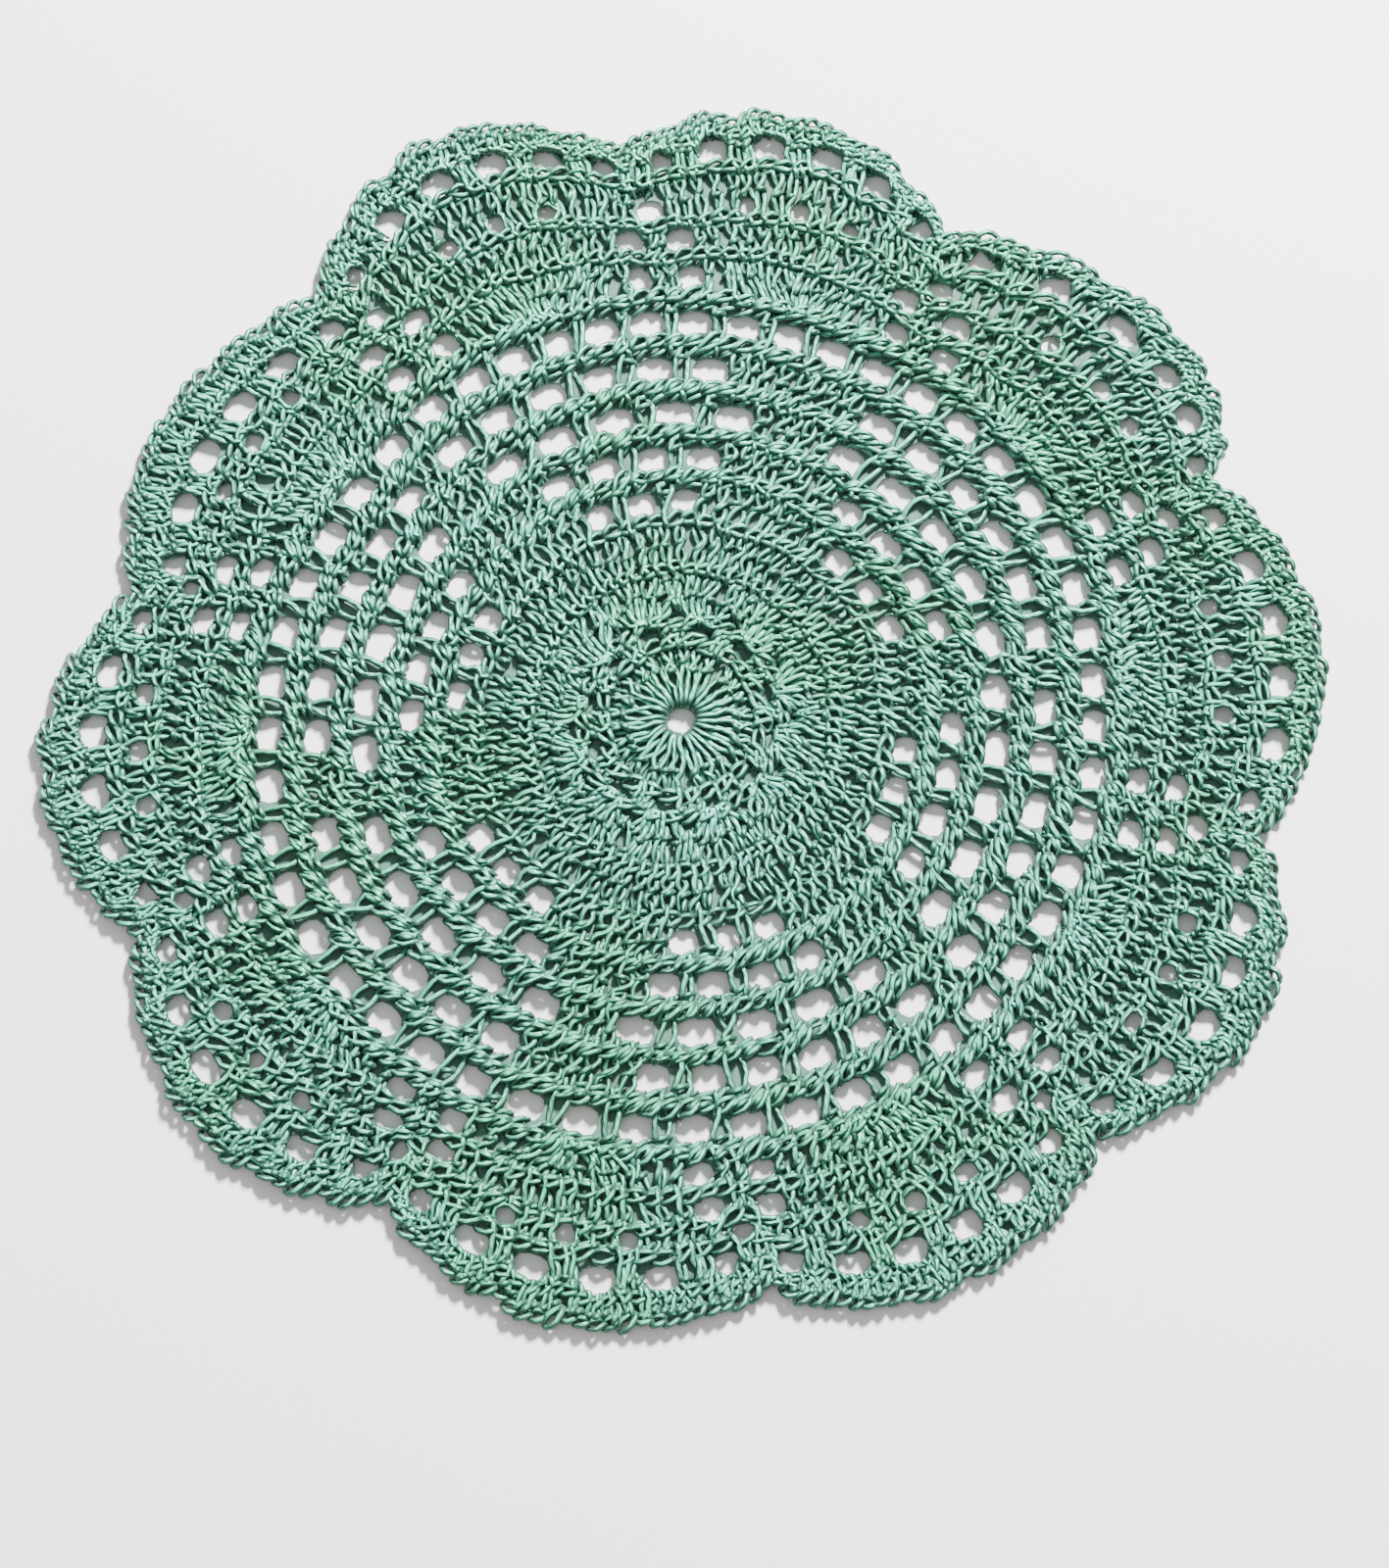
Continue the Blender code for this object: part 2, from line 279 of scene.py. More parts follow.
@dataclass(frozen=True)
class Plan:
    """Where the rounds, gaps and scallops lie, as in the doily's solid."""

    ring_hole: float = 2.6
    ring_sides: int = 24
    mesh_rounds: tuple[MeshRound, ...] = (
        MeshRound(44.7, 5.0, 4.4, 3, 10.9, (54.0, 108.5, 168.5, 228.0, 288.0, 350.0)),
        MeshRound(53.4, 6.0, 4.8, 4, 10.4, (53.0, 107.0, 168.0, 227.5, 287.0, 349.0)),
        MeshRound(62.5, 7.0, 5.4, 5, 10.8, (52.5, 106.0, 166.5, 227.0, 285.5, 348.0)),
        MeshRound(71.8, 6.6, 5.2, 6, 8.6, (54.0, 109.0, 163.0, 230.0, 289.0, 343.0)),
    )
    last_mesh: float = 81.6
    last_gap: tuple[float, float] = (6.4, 5.2)
    gaps_under_fan: int = 5
    fan_base: float = 87.0
    scallops: tuple[Scallop, ...] = (
        Scallop(31.5, 10.1, 27.0, 131.2, 115.2, 8.6, 0.84),
        Scallop(67.0, 51.5, 64.5, 128.4, 116.4, 8.2, 0.76),
        Scallop(101.0, 82.6, 102.0, 126.4, 113.2, 8.6, 0.80),
        Scallop(138.0, 118.0, 136.5, 126.0, 113.0, 8.8, 0.76),
        Scallop(174.5, 154.0, 171.0, 123.0, 111.4, 10.0, 0.60),
        Scallop(212.5, 190.6, 210.0, 120.6, 109.4, 9.6, 0.66),
        Scallop(249.5, 229.0, 247.5, 122.8, 112.4, 9.6, 0.83),
        Scallop(287.0, 265.0, 283.5, 125.0, 111.0, 10.4, 0.86),
        Scallop(326.5, 302.0, 321.0, 121.4, 116.0, 11.0, 1.00),
        Scallop(358.5, 338.5, 354.0, 134.0, 122.6, 10.0, 0.96),
    )
    shell_bumps: int = 6
    bump_height: float = 1.5
    bump_middle: float = 0.6
    bump_fade: float = 3.0
    outline_steps: int = 24
    fan_gaps: tuple[GapRow, ...] = (
        GapRow(0.12, (0.1, 0.9), 5.2, 4.8),
        GapRow(0.35, (0.09, 0.91), 5.4, 4.8),
        GapRow(0.56, (0.02,), 4.6, 4.2),
        GapRow(0.51, (0.33, 0.5, 0.67), 4.6, 4.2),
    )
    wide_edge_gaps: tuple[float, ...] = (0.25, 0.415, 0.585, 0.75)
    wide_edge_gap: tuple[float, float] = (6.8, 5.0)
    small_edge_gaps: tuple[float, ...] = (0.085, 0.915)
    small_edge_gap: tuple[float, float] = (5.0, 4.4)
    lean_step: float = 0.05
    pull: tuple[float, ...] = (2.1, 1.0, 1.2, -1.4, -1.3, -0.6, -0.6, 0.2, 1.0, -1.5, -2.8, 0.9)
    pull_at: float = 82.0
    bars: tuple[float, ...] = (40.4, 49.2, 58.1, 67.3, 76.8, 86.4)

    def pulled(self, angle: float, radius: float) -> float:
        """Gives the radius that a round has at a clock angle, out of round as the cloth lies.

        Args:
            angle: clock angle in degrees.
            radius: the round's own radius.

        Returns:
            The radius there.
        """
        place = (angle % 360) / 360 * len(self.pull)
        before = int(place) % len(self.pull)
        after = (before + 1) % len(self.pull)
        share = smooth(place - int(place))
        pull = self.pull[before] * (1 - share) + self.pull[after] * share
        return radius + pull * radius / self.pull_at

    def on_round(self, angle: float, radius: float) -> Point:
        """The flat point of a round at a clock angle."""
        return on_clock(angle, self.pulled(angle, radius))

    def ring(self, steps: int, radius: float) -> list[Point]:
        """Walks a whole round in equal steps."""
        return [self.on_round(360 * i / steps, radius) for i in range(steps + 1)]

    def arc(self, index: int, steps: int, out: float, inset: float = 0.0) -> list[Point]:
        """Walks right across a scallop in equal steps."""
        return [self.in_scallop(index, i / steps, out, inset) for i in range(steps + 1)]

    def scallop_angle(self, index: int, across: float, out: float) -> float:
        """Finds a clock angle in a scallop.

        Args:
            index: which scallop.
            across: the place across it, 0 to 1 clockwise from notch to notch.
            out: the place from its base, 0, to the edge, 1.

        Returns:
            The clock angle in degrees.
        """
        here = self.scallops[index]
        before = self.scallops[index - 1]
        right_foot = turned_to(here.foot, here.tip)
        left_foot = turned_to(before.foot, here.tip)
        left = (1 - out) * left_foot + out * turned_to(before.notch, here.tip)
        right = (1 - out) * right_foot + out * turned_to(here.notch, here.tip)
        middle = (1 - out) * (left_foot + right_foot) / 2 + out * here.tip
        if across < 0.5:
            return left + (middle - left) * 2 * across
        return middle + (right - middle) * (2 * across - 1)

    def edge_radius(self, index: int, across: float) -> float:
        """Gives how far the outline reaches, a dome with a small bump for each shell of the edging.

        Args:
            index: which scallop.
            across: the place across it, 0 to 1.

        Returns:
            The distance from the centre of the rounds.
        """
        here = self.scallops[index]
        low = self.scallops[index - 1].notch_radius if across < 0.5 else here.notch_radius
        dome = max(0.0, math.sin(math.pi * across)) ** here.power
        bump = abs(math.sin(math.pi * self.shell_bumps * across)) - self.bump_middle
        fade = smooth(min(1.0, self.bump_fade * dome))
        return low + (here.crown - low) * dome + self.bump_height * bump * fade

    def in_scallop(self, index: int, across: float, out: float, inset: float = 0.0) -> Point:
        """Finds a flat point in a scallop; a place below 0 or above 1 is in its neighbour.

        Args:
            index: which scallop.
            across: the place across it.
            out: the place from its base, 0, to the edge, 1.
            inset: how far the edge is taken to be drawn in.

        Returns:
            The point's x and y.
        """
        if across < 0:
            return self.in_scallop((index - 1) % len(self.scallops), across + 1, out, inset)
        if across > 1:
            return self.in_scallop((index + 1) % len(self.scallops), across - 1, out, inset)
        angle = self.scallop_angle(index, across, out)
        base = self.pulled(angle, self.fan_base)
        return on_clock(angle, base + (self.edge_radius(index, across) - inset - base) * out)

    def edge_lean(self, index: int, across: float, out: float) -> float:
        """Gives how far clockwise of outwards the edging faces.

        Args:
            index: which scallop.
            across: the place across it.
            out: the place from its base to the edge.

        Returns:
            The lean in degrees.
        """
        ahead = self.in_scallop(index, across + self.lean_step, out)
        behind = self.in_scallop(index, across - self.lean_step, out)
        middle = self.in_scallop(index, across, out)
        run = math.degrees(math.atan2(ahead[0] - behind[0], ahead[1] - behind[1])) - 90
        return turned_to(run - math.degrees(math.atan2(middle[0], middle[1])), 0)

    def gap_at(self, middle: Point, width: float, depth: float, turn: float = 0.0) -> Gap:
        """A gap at a point, facing outwards but for a turn."""
        return Gap(middle, width, depth, math.degrees(math.atan2(middle[0], middle[1])) + turn)

    def edge_gap_out(self, index: int) -> float:
        """How far out the gaps behind a scallop's edging lie, from 0 to 1."""
        scallop = self.scallops[index]
        return 1 - scallop.edging / (scallop.crown - self.fan_base)

    def mesh_angles(self, mesh: MeshRound) -> list[float]:
        """Sets out the gaps of a mesh round.

        Args:
            mesh: the round.

        Returns:
            The clock angles of its gaps, in turn.
        """
        return [
            middle + (i - (mesh.gaps - 1) / 2) * mesh.pitch
            for middle in mesh.middles
            for i in range(mesh.gaps)
        ]

    def last_angles(self) -> list[float]:
        """Sets out the gaps of the last mesh round, under the fans.

        Returns:
            Their clock angles, in turn.
        """
        return [
            self.scallop_angle(index, (i + 0.5) / self.gaps_under_fan, 0)
            for index in range(len(self.scallops))
            for i in range(self.gaps_under_fan)
        ]

    def gaps(self) -> list[Gap]:
        """Gathers every gap that is cut through, apart from the ring in the middle.

        Returns:
            The gaps, from the inside out.
        """
        found = []
        for mesh in self.mesh_rounds:
            for angle in self.mesh_angles(mesh):
                found.append(self.gap_at(self.on_round(angle, mesh.radius), mesh.gap_width, mesh.gap_depth))
        for angle in self.last_angles():
            found.append(self.gap_at(self.on_round(angle, self.last_mesh), *self.last_gap))
        for index in range(len(self.scallops)):
            for row in self.fan_gaps:
                for across in row.places:
                    place = self.in_scallop(index, across, row.out)
                    found.append(self.gap_at(place, row.width, row.depth))
            out = self.edge_gap_out(index)
            for places, size in (
                (self.wide_edge_gaps, self.wide_edge_gap),
                (self.small_edge_gaps, self.small_edge_gap),
            ):
                for across in places:
                    lean = self.edge_lean(index, across, out)
                    found.append(self.gap_at(self.in_scallop(index, across, out), *size, lean))
        return found

    def outline(self, inset: float = 0.0) -> list[Point]:
        """Walks the outer edge, scallop by scallop.

        Args:
            inset: how far inside the edge.

        Returns:
            The points, anticlockwise.
        """
        points = []
        for index in range(len(self.scallops)):
            for i in range(self.outline_steps):
                points.append(self.in_scallop(index, i / self.outline_steps, 1.0, inset))
        return points[::-1]

    def shift(self) -> Point:
        """Finds the centre of the rounds in the solid's frame.

        Returns:
            How far it lies from the middle of the outline, in x and y.
        """
        edge = self.outline()
        middle = [(min(p[axis] for p in edge) + max(p[axis] for p in edge)) / 2 for axis in (0, 1)]
        return (-middle[0], -middle[1])


class Stitch(Enum):
    """How many eyes the two legs of a stitch leave open between them."""

    SHORT = 1
    TALL = 2


@dataclass(frozen=True)
class HandPull:
    """How unevenly the work lies: smooth shifts, the same for every round where they meet."""

    seed: int = 3
    waves: int = 26
    shortest: float = 4.2
    longest: float = 17.0
    reach: float = 0.4
    rise: float = 0.12

    def moved(self, places: np.ndarray) -> np.ndarray:
        """Shifts places as hands would have pulled them.

        Args:
            places: one row of x, y and height for each.

        Returns:
            The shifted rows.
        """
        chance = random.Random(self.seed)
        share = math.sqrt(2 / self.waves)
        shifted = places.copy()
        for _ in range(self.waves):
            heading = chance.uniform(0, 2 * math.pi)
            push = chance.uniform(0, 2 * math.pi)
            wave = chance.uniform(self.shortest, self.longest)
            run = places[:, 0] * math.cos(heading) + places[:, 1] * math.sin(heading)
            swing = share * np.sin(run * 2 * math.pi / wave + chance.uniform(0, 2 * math.pi))
            shifted[:, 0] += self.reach * swing * math.cos(push)
            shifted[:, 1] += self.reach * swing * math.sin(push)
            shifted[:, 2] += self.rise * swing * math.cos(push - heading)
        return shifted


@dataclass
class Thread:
    """Lines of thread laid so far, in millimetres, with a tint for each."""

    points: list[Place] = field(default_factory=list)
    edges: list[tuple[int, int]] = field(default_factory=list)
    tints: list[float] = field(default_factory=list)
    swells: list[float] = field(default_factory=list)
    rim_spread: tuple[float, float] = (-0.5, 0.9)
    rim_power: float = 2.5
    rim_share: float = 0.05
    cut_within: float = 0.5
    cut_swell: float = 0.5

    def lay(self, line: list[Place], tint: float, thick: float = 1.0, end: float = 0.5) -> None:
        """Adds one line of thread.

        Args:
            line: the points that it follows.
            tint: how light it is, from 0 to 1.
            thick: how thick it is, as a share of the thread.
            end: how thick its two ends are, as a share of its middle.
        """
        first = len(self.points)
        self.points += line
        self.edges += [(first + i, first + i + 1) for i in range(len(line) - 1)]
        self.tints += [tint] * len(line)
        self.swells += [thick * end] + [thick] * (len(line) - 2) + [thick * end]

    def part_round(self, gaps: list[Gap], clear: float, pull: HandPull) -> None:
        """Pulls the thread about, then pushes it out of the gaps, which it goes round.

        Args:
            gaps: the gaps to keep open.
            clear: how far at most the middle of the thread keeps from a gap's rim.
            pull: how unevenly the thread lies.
        """
        chance = random.Random(pull.seed)
        places = pull.moved(np.array(self.points, float))
        ends = np.array(self.edges)
        crossing = np.zeros(len(ends), bool)
        for gap in gaps:
            side, out = gap.axes()
            half_width = gap.width / 2 + clear * chance.uniform(*self.rim_spread)
            half_depth = gap.depth / 2 + clear * chance.uniform(*self.rim_spread)
            offset = places[:, :2] - np.array(gap.middle)
            near = np.abs(offset).max(axis=1) < max(half_width, half_depth)
            if not near.any():
                continue
            across = (offset[near] @ np.array(side)) / half_width
            along = (offset[near] @ np.array(out)) / half_depth
            power = self.rim_power
            reach = (np.abs(across) ** power + np.abs(along) ** power) ** (1 / power)
            grow = 1 / np.clip(reach, self.rim_share, 1.0)
            moved = np.outer(across * grow * half_width, side)
            moved += np.outer(along * grow * half_depth, out)
            places[np.nonzero(near)[0], :2] = moved + np.array(gap.middle)
            halfway = (places[ends[:, 0], :2] + places[ends[:, 1], :2]) / 2 - np.array(gap.middle)
            inside = (halfway @ np.array(side) / half_width) ** 2
            inside += (halfway @ np.array(out) / half_depth) ** 2
            crossing |= inside < self.cut_within
        self.points = [tuple(place) for place in places.tolist()]
        for a, b in ends[crossing].tolist():
            self.swells[a] *= self.cut_swell
            self.swells[b] *= self.cut_swell
        self.edges = [tuple(pair) for pair in ends[~crossing].tolist()]


@dataclass(frozen=True)
class Bend:
    """A place on a line of thread: how far along it and to its side, and how high."""

    along: float
    side: float
    up: float


@dataclass
class Hook:
    """Works stitches in thread: posts with two legs, and the links of a chain."""

    seed: int
    radius: float = 0.6
    post_height: float = 1.55
    twist_height: float = 0.48
    eye_lift: float = 0.35
    steps_per_eye: int = 6
    head_height: float = 1.25
    tint_spread: float = 0.2
    thick_range: tuple[float, float] = (0.82, 1.15)
    thick_spread: float = 0.07
    link_width: float = 1.12
    link_slant: float = 0.62
    slant_spread: float = 0.3
    wander: float = 0.24
    half_link: tuple[Bend, ...] = (
        Bend(-0.15, 0.15, 1.3),
        Bend(0.08, 0.30, 2.1),
        Bend(0.35, 0.70, 2.6),
        Bend(0.68, 0.97, 2.55),
        Bend(0.97, 0.80, 2.0),
        Bend(1.13, 0.42, 1.4),
    )
    link_tip: Bend = Bend(1.19, 0.0, 1.2)
    strand: tuple[Bend, ...] = (
        Bend(-0.02, 1.25, 1.3),
        Bend(0.24, 0.72, 2.4),
        Bend(0.5, 0.0, 2.85),
        Bend(0.76, -0.72, 2.4),
        Bend(1.02, -1.25, 1.3),
    )
    strand_spread: float = 0.28
    strand_shift: float = 0.24
    behind: tuple[Point, ...] = ((-0.15, 1.1), (0.15, 1.6), (0.5, 1.9), (0.85, 1.6), (1.15, 1.1))
    behind_spread: float = 0.06
    front_foot: tuple[Bend, ...] = (Bend(-2.5, 0.5, 1.3), Bend(-1.2, 0.25, 2.85))
    back_foot: tuple[Bend, ...] = (Bend(-2.7, -0.4, 1.5), Bend(-1.4, -0.25, 0.75))
    back_start: float = 1.0
    bow_share: float = 1.4
    late_spread: float = 0.2
    slack_spread: float = 0.1
    lift_spread: float = 0.1
    leg_power: float = 0.75
    head_from: float = 0.82
    head_run: float = 0.18
    turn: tuple[Bend, ...] = (
        Bend(-1.0, -1.0, 1.1),
        Bend(-0.62, -0.66, 2.15),
        Bend(0.0, 0.0, 2.62),
        Bend(0.62, 0.66, 2.15),
        Bend(1.0, 1.0, 1.1),
    )
    turn_tall: float = 0.5
    turn_short: float = 0.72
    turn_spread: float = 0.06
    turn_least: float = 0.45
    turn_share: float = 0.8
    turn_steep: tuple[float, float] = (0.8, 0.45)
    turn_past: float = 0.55
    link_spread: float = 0.1
    link_lean: float = 0.6
    link_rise: float = 0.1
    thread: Thread = field(default_factory=Thread)
    chance: random.Random = field(init=False)

    def __post_init__(self) -> None:
        """Seeds this hook's own random numbers."""
        self.chance = random.Random(self.seed)

    def tint(self) -> float:
        """A random lightness for one line of thread."""
        return min(1.0, max(0.0, self.chance.gauss(0.5, self.tint_spread)))

    def thick(self) -> float:
        """A random thickness for one line of thread, as a share of the usual."""
        low, high = self.thick_range
        return min(high, max(low, self.chance.gauss(1, self.thick_spread)))

    def near(self, place: Point) -> Point:
        """A random point close to another."""
        return (place[0] + self.chance.gauss(0, self.wander), place[1] + self.chance.gauss(0, self.wander))

    def beside(self, start: Point, end: Point, share: float, side: float, up: float) -> Place:
        """Finds a place beside the line from one point to another.

        Args:
            start: where the line starts.
            end: where it ends.
            share: how far along it, from 0 to 1, or outside that past its ends.
            side: how far to its right.
            up: the height.

        Returns:
            The place.
        """
        run_x, run_y = end[0] - start[0], end[1] - start[1]
        length = math.hypot(run_x, run_y)
        x = start[0] + run_x * share + run_y / length * side
        y = start[1] + run_y * share - run_x / length * side
        return (x, y, up)

    def post(self, foot: Point, head: Point, spread: tuple[float, float], stitch: Stitch) -> None:
        """Works a post, whose two legs wind round each other and hook round the chain below.

        Args:
            foot: where it stands on the round below.
            head: where it ends, under its own round's chain.
            spread: how far its legs stand from its middle, at the foot and at the head.
            stitch: how tall it is.
        """
        foot = self.near(foot)
        head = self.near(head)
        length = math.dist(foot, head)
        bow = self.chance.gauss(0, self.bow_share * self.wander)
        late = self.chance.gauss(0, self.late_spread)
        steps = self.steps_per_eye * stitch.value
        slack = 1 + self.chance.gauss(0, self.slack_spread)
        lift = self.chance.gauss(0, self.lift_spread)
        for leg in (1, -1):
            line = []
            for bend in self.front_foot if leg > 0 else self.back_foot:
                line.append(self.beside(foot, head, bend.along / length, bend.side, bend.up))
            for k in range(steps + 1):
                share = k / steps
                arch = math.sin(math.pi * share)
                phase = math.pi * (stitch.value * share + late * arch)
                wide = (spread[0] + (spread[1] - spread[0]) * share) * slack
                swing = math.sin(phase)
                side = leg * wide * math.copysign(abs(swing) ** self.leg_power, swing) + bow * arch
                up = self.post_height + self.eye_lift * abs(swing)
                up += leg * self.twist_height * math.cos(phase) + lift
                near_head = max(0.0, (share - self.head_from) / self.head_run)
                up += (self.head_height - up) * near_head
                if leg < 0 and k == 0:
                    up = self.back_start
                line.append(self.beside(foot, head, share, side, up))
            self.thread.lay(line, self.tint(), self.thick())
        place = self.turn_tall if stitch is Stitch.TALL else self.turn_short
        place += self.chance.gauss(0, self.turn_spread)
        self.wrap(foot, head, place, max(self.turn_least, min(spread) * self.turn_share))

    def wrap(self, foot: Point, head: Point, place: float, wide: float) -> None:
        """Winds a short turn of thread slantwise over a post.

        Args:
            foot: where the post stands.
            head: where it ends.
            place: how far up the post, from 0 to 1.
            wide: how far its legs stand from its middle there.
        """
        length = math.dist(foot, head)
        steep = self.chance.gauss(*self.turn_steep)
        line = []
        for bend in self.turn:
            share = place + steep * bend.along / length
            line.append(self.beside(foot, head, share, bend.side * (wide + self.turn_past), bend.up))
        self.thread.lay(line, self.tint(), self.thick())

    def slanted(self, start: Point, end: Point) -> tuple[Point, Point]:
        """Turns a step of a chain so that it starts on the inside of the round and ends on the outside."""
        slant = self.link_slant + self.chance.gauss(0, self.slant_spread)
        return self.beside(start, end, 0.0, slant, 0.0)[:2], self.beside(start, end, 1.0, -slant, 0.0)[:2]

    def link(self, start: Point, end: Point, width: float = 1.0, sink: float = 0.0) -> None:
        """Works one link of a chain, a loop that opens along the chain.

        Args:
            start: where it comes out of the link before.
            end: where the next link comes out of it.
            width: how wide it is, as a share of the usual.
            sink: how much lower it lies than usual.
        """
        wide = self.link_width * width * (1 + self.chance.gauss(0, self.link_spread))
        lean = self.chance.gauss(0, self.link_lean * self.wander)
        start, end = self.slanted(start, end)
        sink += self.chance.gauss(0, self.link_rise)
        line = []
        for sign, bends in ((1, self.half_link), (0, (self.link_tip,)), (-1, self.half_link[::-1])):
            for bend in bends:
                side = sign * bend.side * wide + lean
                line.append(self.beside(start, end, bend.along, side, bend.up - sink))
        self.thread.lay(line, self.tint(), self.thick())

    def cross(self, start: Point, end: Point) -> None:
        """Lays a short strand slantwise over a link, as the foot of the next round's stitch.

        Args:
            start: where the link starts.
            end: where it ends.
        """
        reach = self.link_width * (1 + self.chance.gauss(0, self.strand_spread))
        ahead = self.chance.gauss(0, self.strand_shift)
        line = []
        for bend in self.strand:
            line.append(self.beside(start, end, bend.along + ahead, bend.side * reach, bend.up))
        self.thread.lay(line, self.tint(), self.thick())

    def chain(self, path: list[Point], width: float = 1.0, back: float = 0.0, sink: float = 0.0) -> None:
        """Works a chain of links along a path, with the thread that lies behind it if wanted.

        Args:
            path: the points where one link comes out of another.
            width: how wide the links are, as a share of the usual.
            back: how far to the right the thread behind the chain shows, or 0 for none.
            sink: how much lower the chain lies than usual.
        """
        for start, end in zip(path, path[1:]):
            self.link(start, end, width, sink)
            if back:
                start, end = self.slanted(start, end)
                line = []
                for share, up in self.behind:
                    away = back * (1 + self.chance.gauss(0, self.behind_spread))
                    line.append(self.beside(start, end, share, away, up - sink))
                self.thread.lay(line, self.tint(), self.thick())


@dataclass(frozen=True)
class ThreadFinish:
    """Glossed cotton thread: three plies twisted together, with painted shade low down and on the sides of
    the strands, and a painted highlight along their tops.
    """

    name: str = "green cotton thread"
    # Painted shade: the colour of thread low down, where strands lie under others and the painted highlight
    # is held back.
    low_painted_shade: Colour = (0.048, 0.105, 0.08, 1)
    # The thread's colour, varied at random between this and the next, kept dark as painted shade on the
    # sides of the strands.
    body: Colour = (0.025, 0.066, 0.045, 1)
    pale: Colour = (0.037, 0.108, 0.075, 1)
    # Painted highlight along the tops of the strands, its hue varied at random between these two.
    green_painted_highlight: Colour = (0.12, 0.86, 0.46, 1)
    blue_painted_highlight: Colour = (0.19, 0.99, 0.78, 1)
    # How far up a surface must face for the painted highlight to start, and to be full.
    painted_highlight_from: float = 0.74
    painted_highlight_full: float = 1.0
    shine: Colour = (0.4, 1.0, 0.75, 1)
    shine_strength: float = 0.55
    # Heights from the painted shade low down up to where the painted highlight may be full.
    low: float = 0.8 * MM
    high: float = 2.7 * MM
    patch_scale: float = 28.0
    patch_detail: float = 2.0
    cast_scale: float = 19.0
    cast_detail: float = 3.0
    cast_range: tuple[float, float] = (0.38, 0.62)
    roughness: float = 0.33
    plies: float = 3.0
    twist_pitch: float = 2.2 * MM
    ply_depth: float = 0.1 * MM
    ply_strength: float = 0.5

    def material(self) -> bpy.types.Material:
        """Builds the material's nodes.

        Returns:
            The material.
        """
        surface = {
            "Roughness": self.roughness,
            "Specular IOR Level": self.shine_strength,
            "Specular Tint": self.shine,
        }
        material, bench, shader = bare_material(self.name, surface)
        place = bench.add("ShaderNodeTexCoord").outputs["Object"]
        # Height share: 0 low down, where painted shade is laid, up to 1 high up.
        height = bench.share_of(bench.split(place).outputs["Z"], self.low, self.high)
        patches = bench.noise(place, self.patch_scale, self.patch_detail)
        # Random tone per strand and in patches, on the dark painted shade of the strands' sides.
        lightness = bench.sum_of("MULTIPLY", bench.sum_of("ADD", bench.note("tint"), patches), 0.5)
        top = bench.mix(lightness, self.body, self.pale)
        shade = bench.mix(height, self.low_painted_shade, top)
        # Painted highlight where the surface faces up, held back low down as painted shade.
        rise = bench.share_of(bench.note("upward"), self.painted_highlight_from, self.painted_highlight_full, interpolation_type="SMOOTHSTEP")
        casts = bench.noise(place, self.cast_scale, self.cast_detail)
        painted_highlight = bench.mix(bench.share_of(casts, *self.cast_range), self.green_painted_highlight, self.blue_painted_highlight)
        colour = bench.mix(bench.sum_of("MULTIPLY", rise, height), shade, painted_highlight)

        around = bench.split(bench.note("thread_place", "Vector")).outputs
        turns = bench.sum_of("MULTIPLY", bench.sum_of("ARCTAN2", around["Y"], around["X"]), self.plies)
        run = bench.sum_of("MULTIPLY_ADD", around["Z"], 2 * math.pi / self.twist_pitch, turns)
        normal = bench.relief(bench.sum_of("SINE", run), self.ply_strength, self.ply_depth)
        bench.feed(shader, {"Base Color": colour, "Normal": normal})
        return material


@dataclass(frozen=True)
class PaintedHollowShade:
    """Painted shade for the thread between the stitches, where little light comes."""

    name: str = "green cotton in the hollows"
    # Both colours are painted shade, dark green, mixed by a fine noise.
    dark: Colour = (0.04, 0.1, 0.074, 1)
    light: Colour = (0.088, 0.21, 0.155, 1)
    strand_scale: float = 900.0
    strand_detail: float = 3.0
    strand_strength: float = 0.6
    strand_depth: float = 0.2 * MM
    roughness: float = 0.7

    def material(self) -> bpy.types.Material:
        """Builds the material's nodes.

        Returns:
            The material.
        """
        material, bench, shader = bare_material(self.name, {"Roughness": self.roughness})
        place = bench.add("ShaderNodeTexCoord").outputs["Object"]
        strands = bench.noise(place, self.strand_scale, self.strand_detail)
        colour = bench.mix(strands, self.dark, self.light)
        normal = bench.relief(strands, self.strand_strength, self.strand_depth)
        bench.feed(shader, {"Base Color": colour, "Normal": normal})
        return material


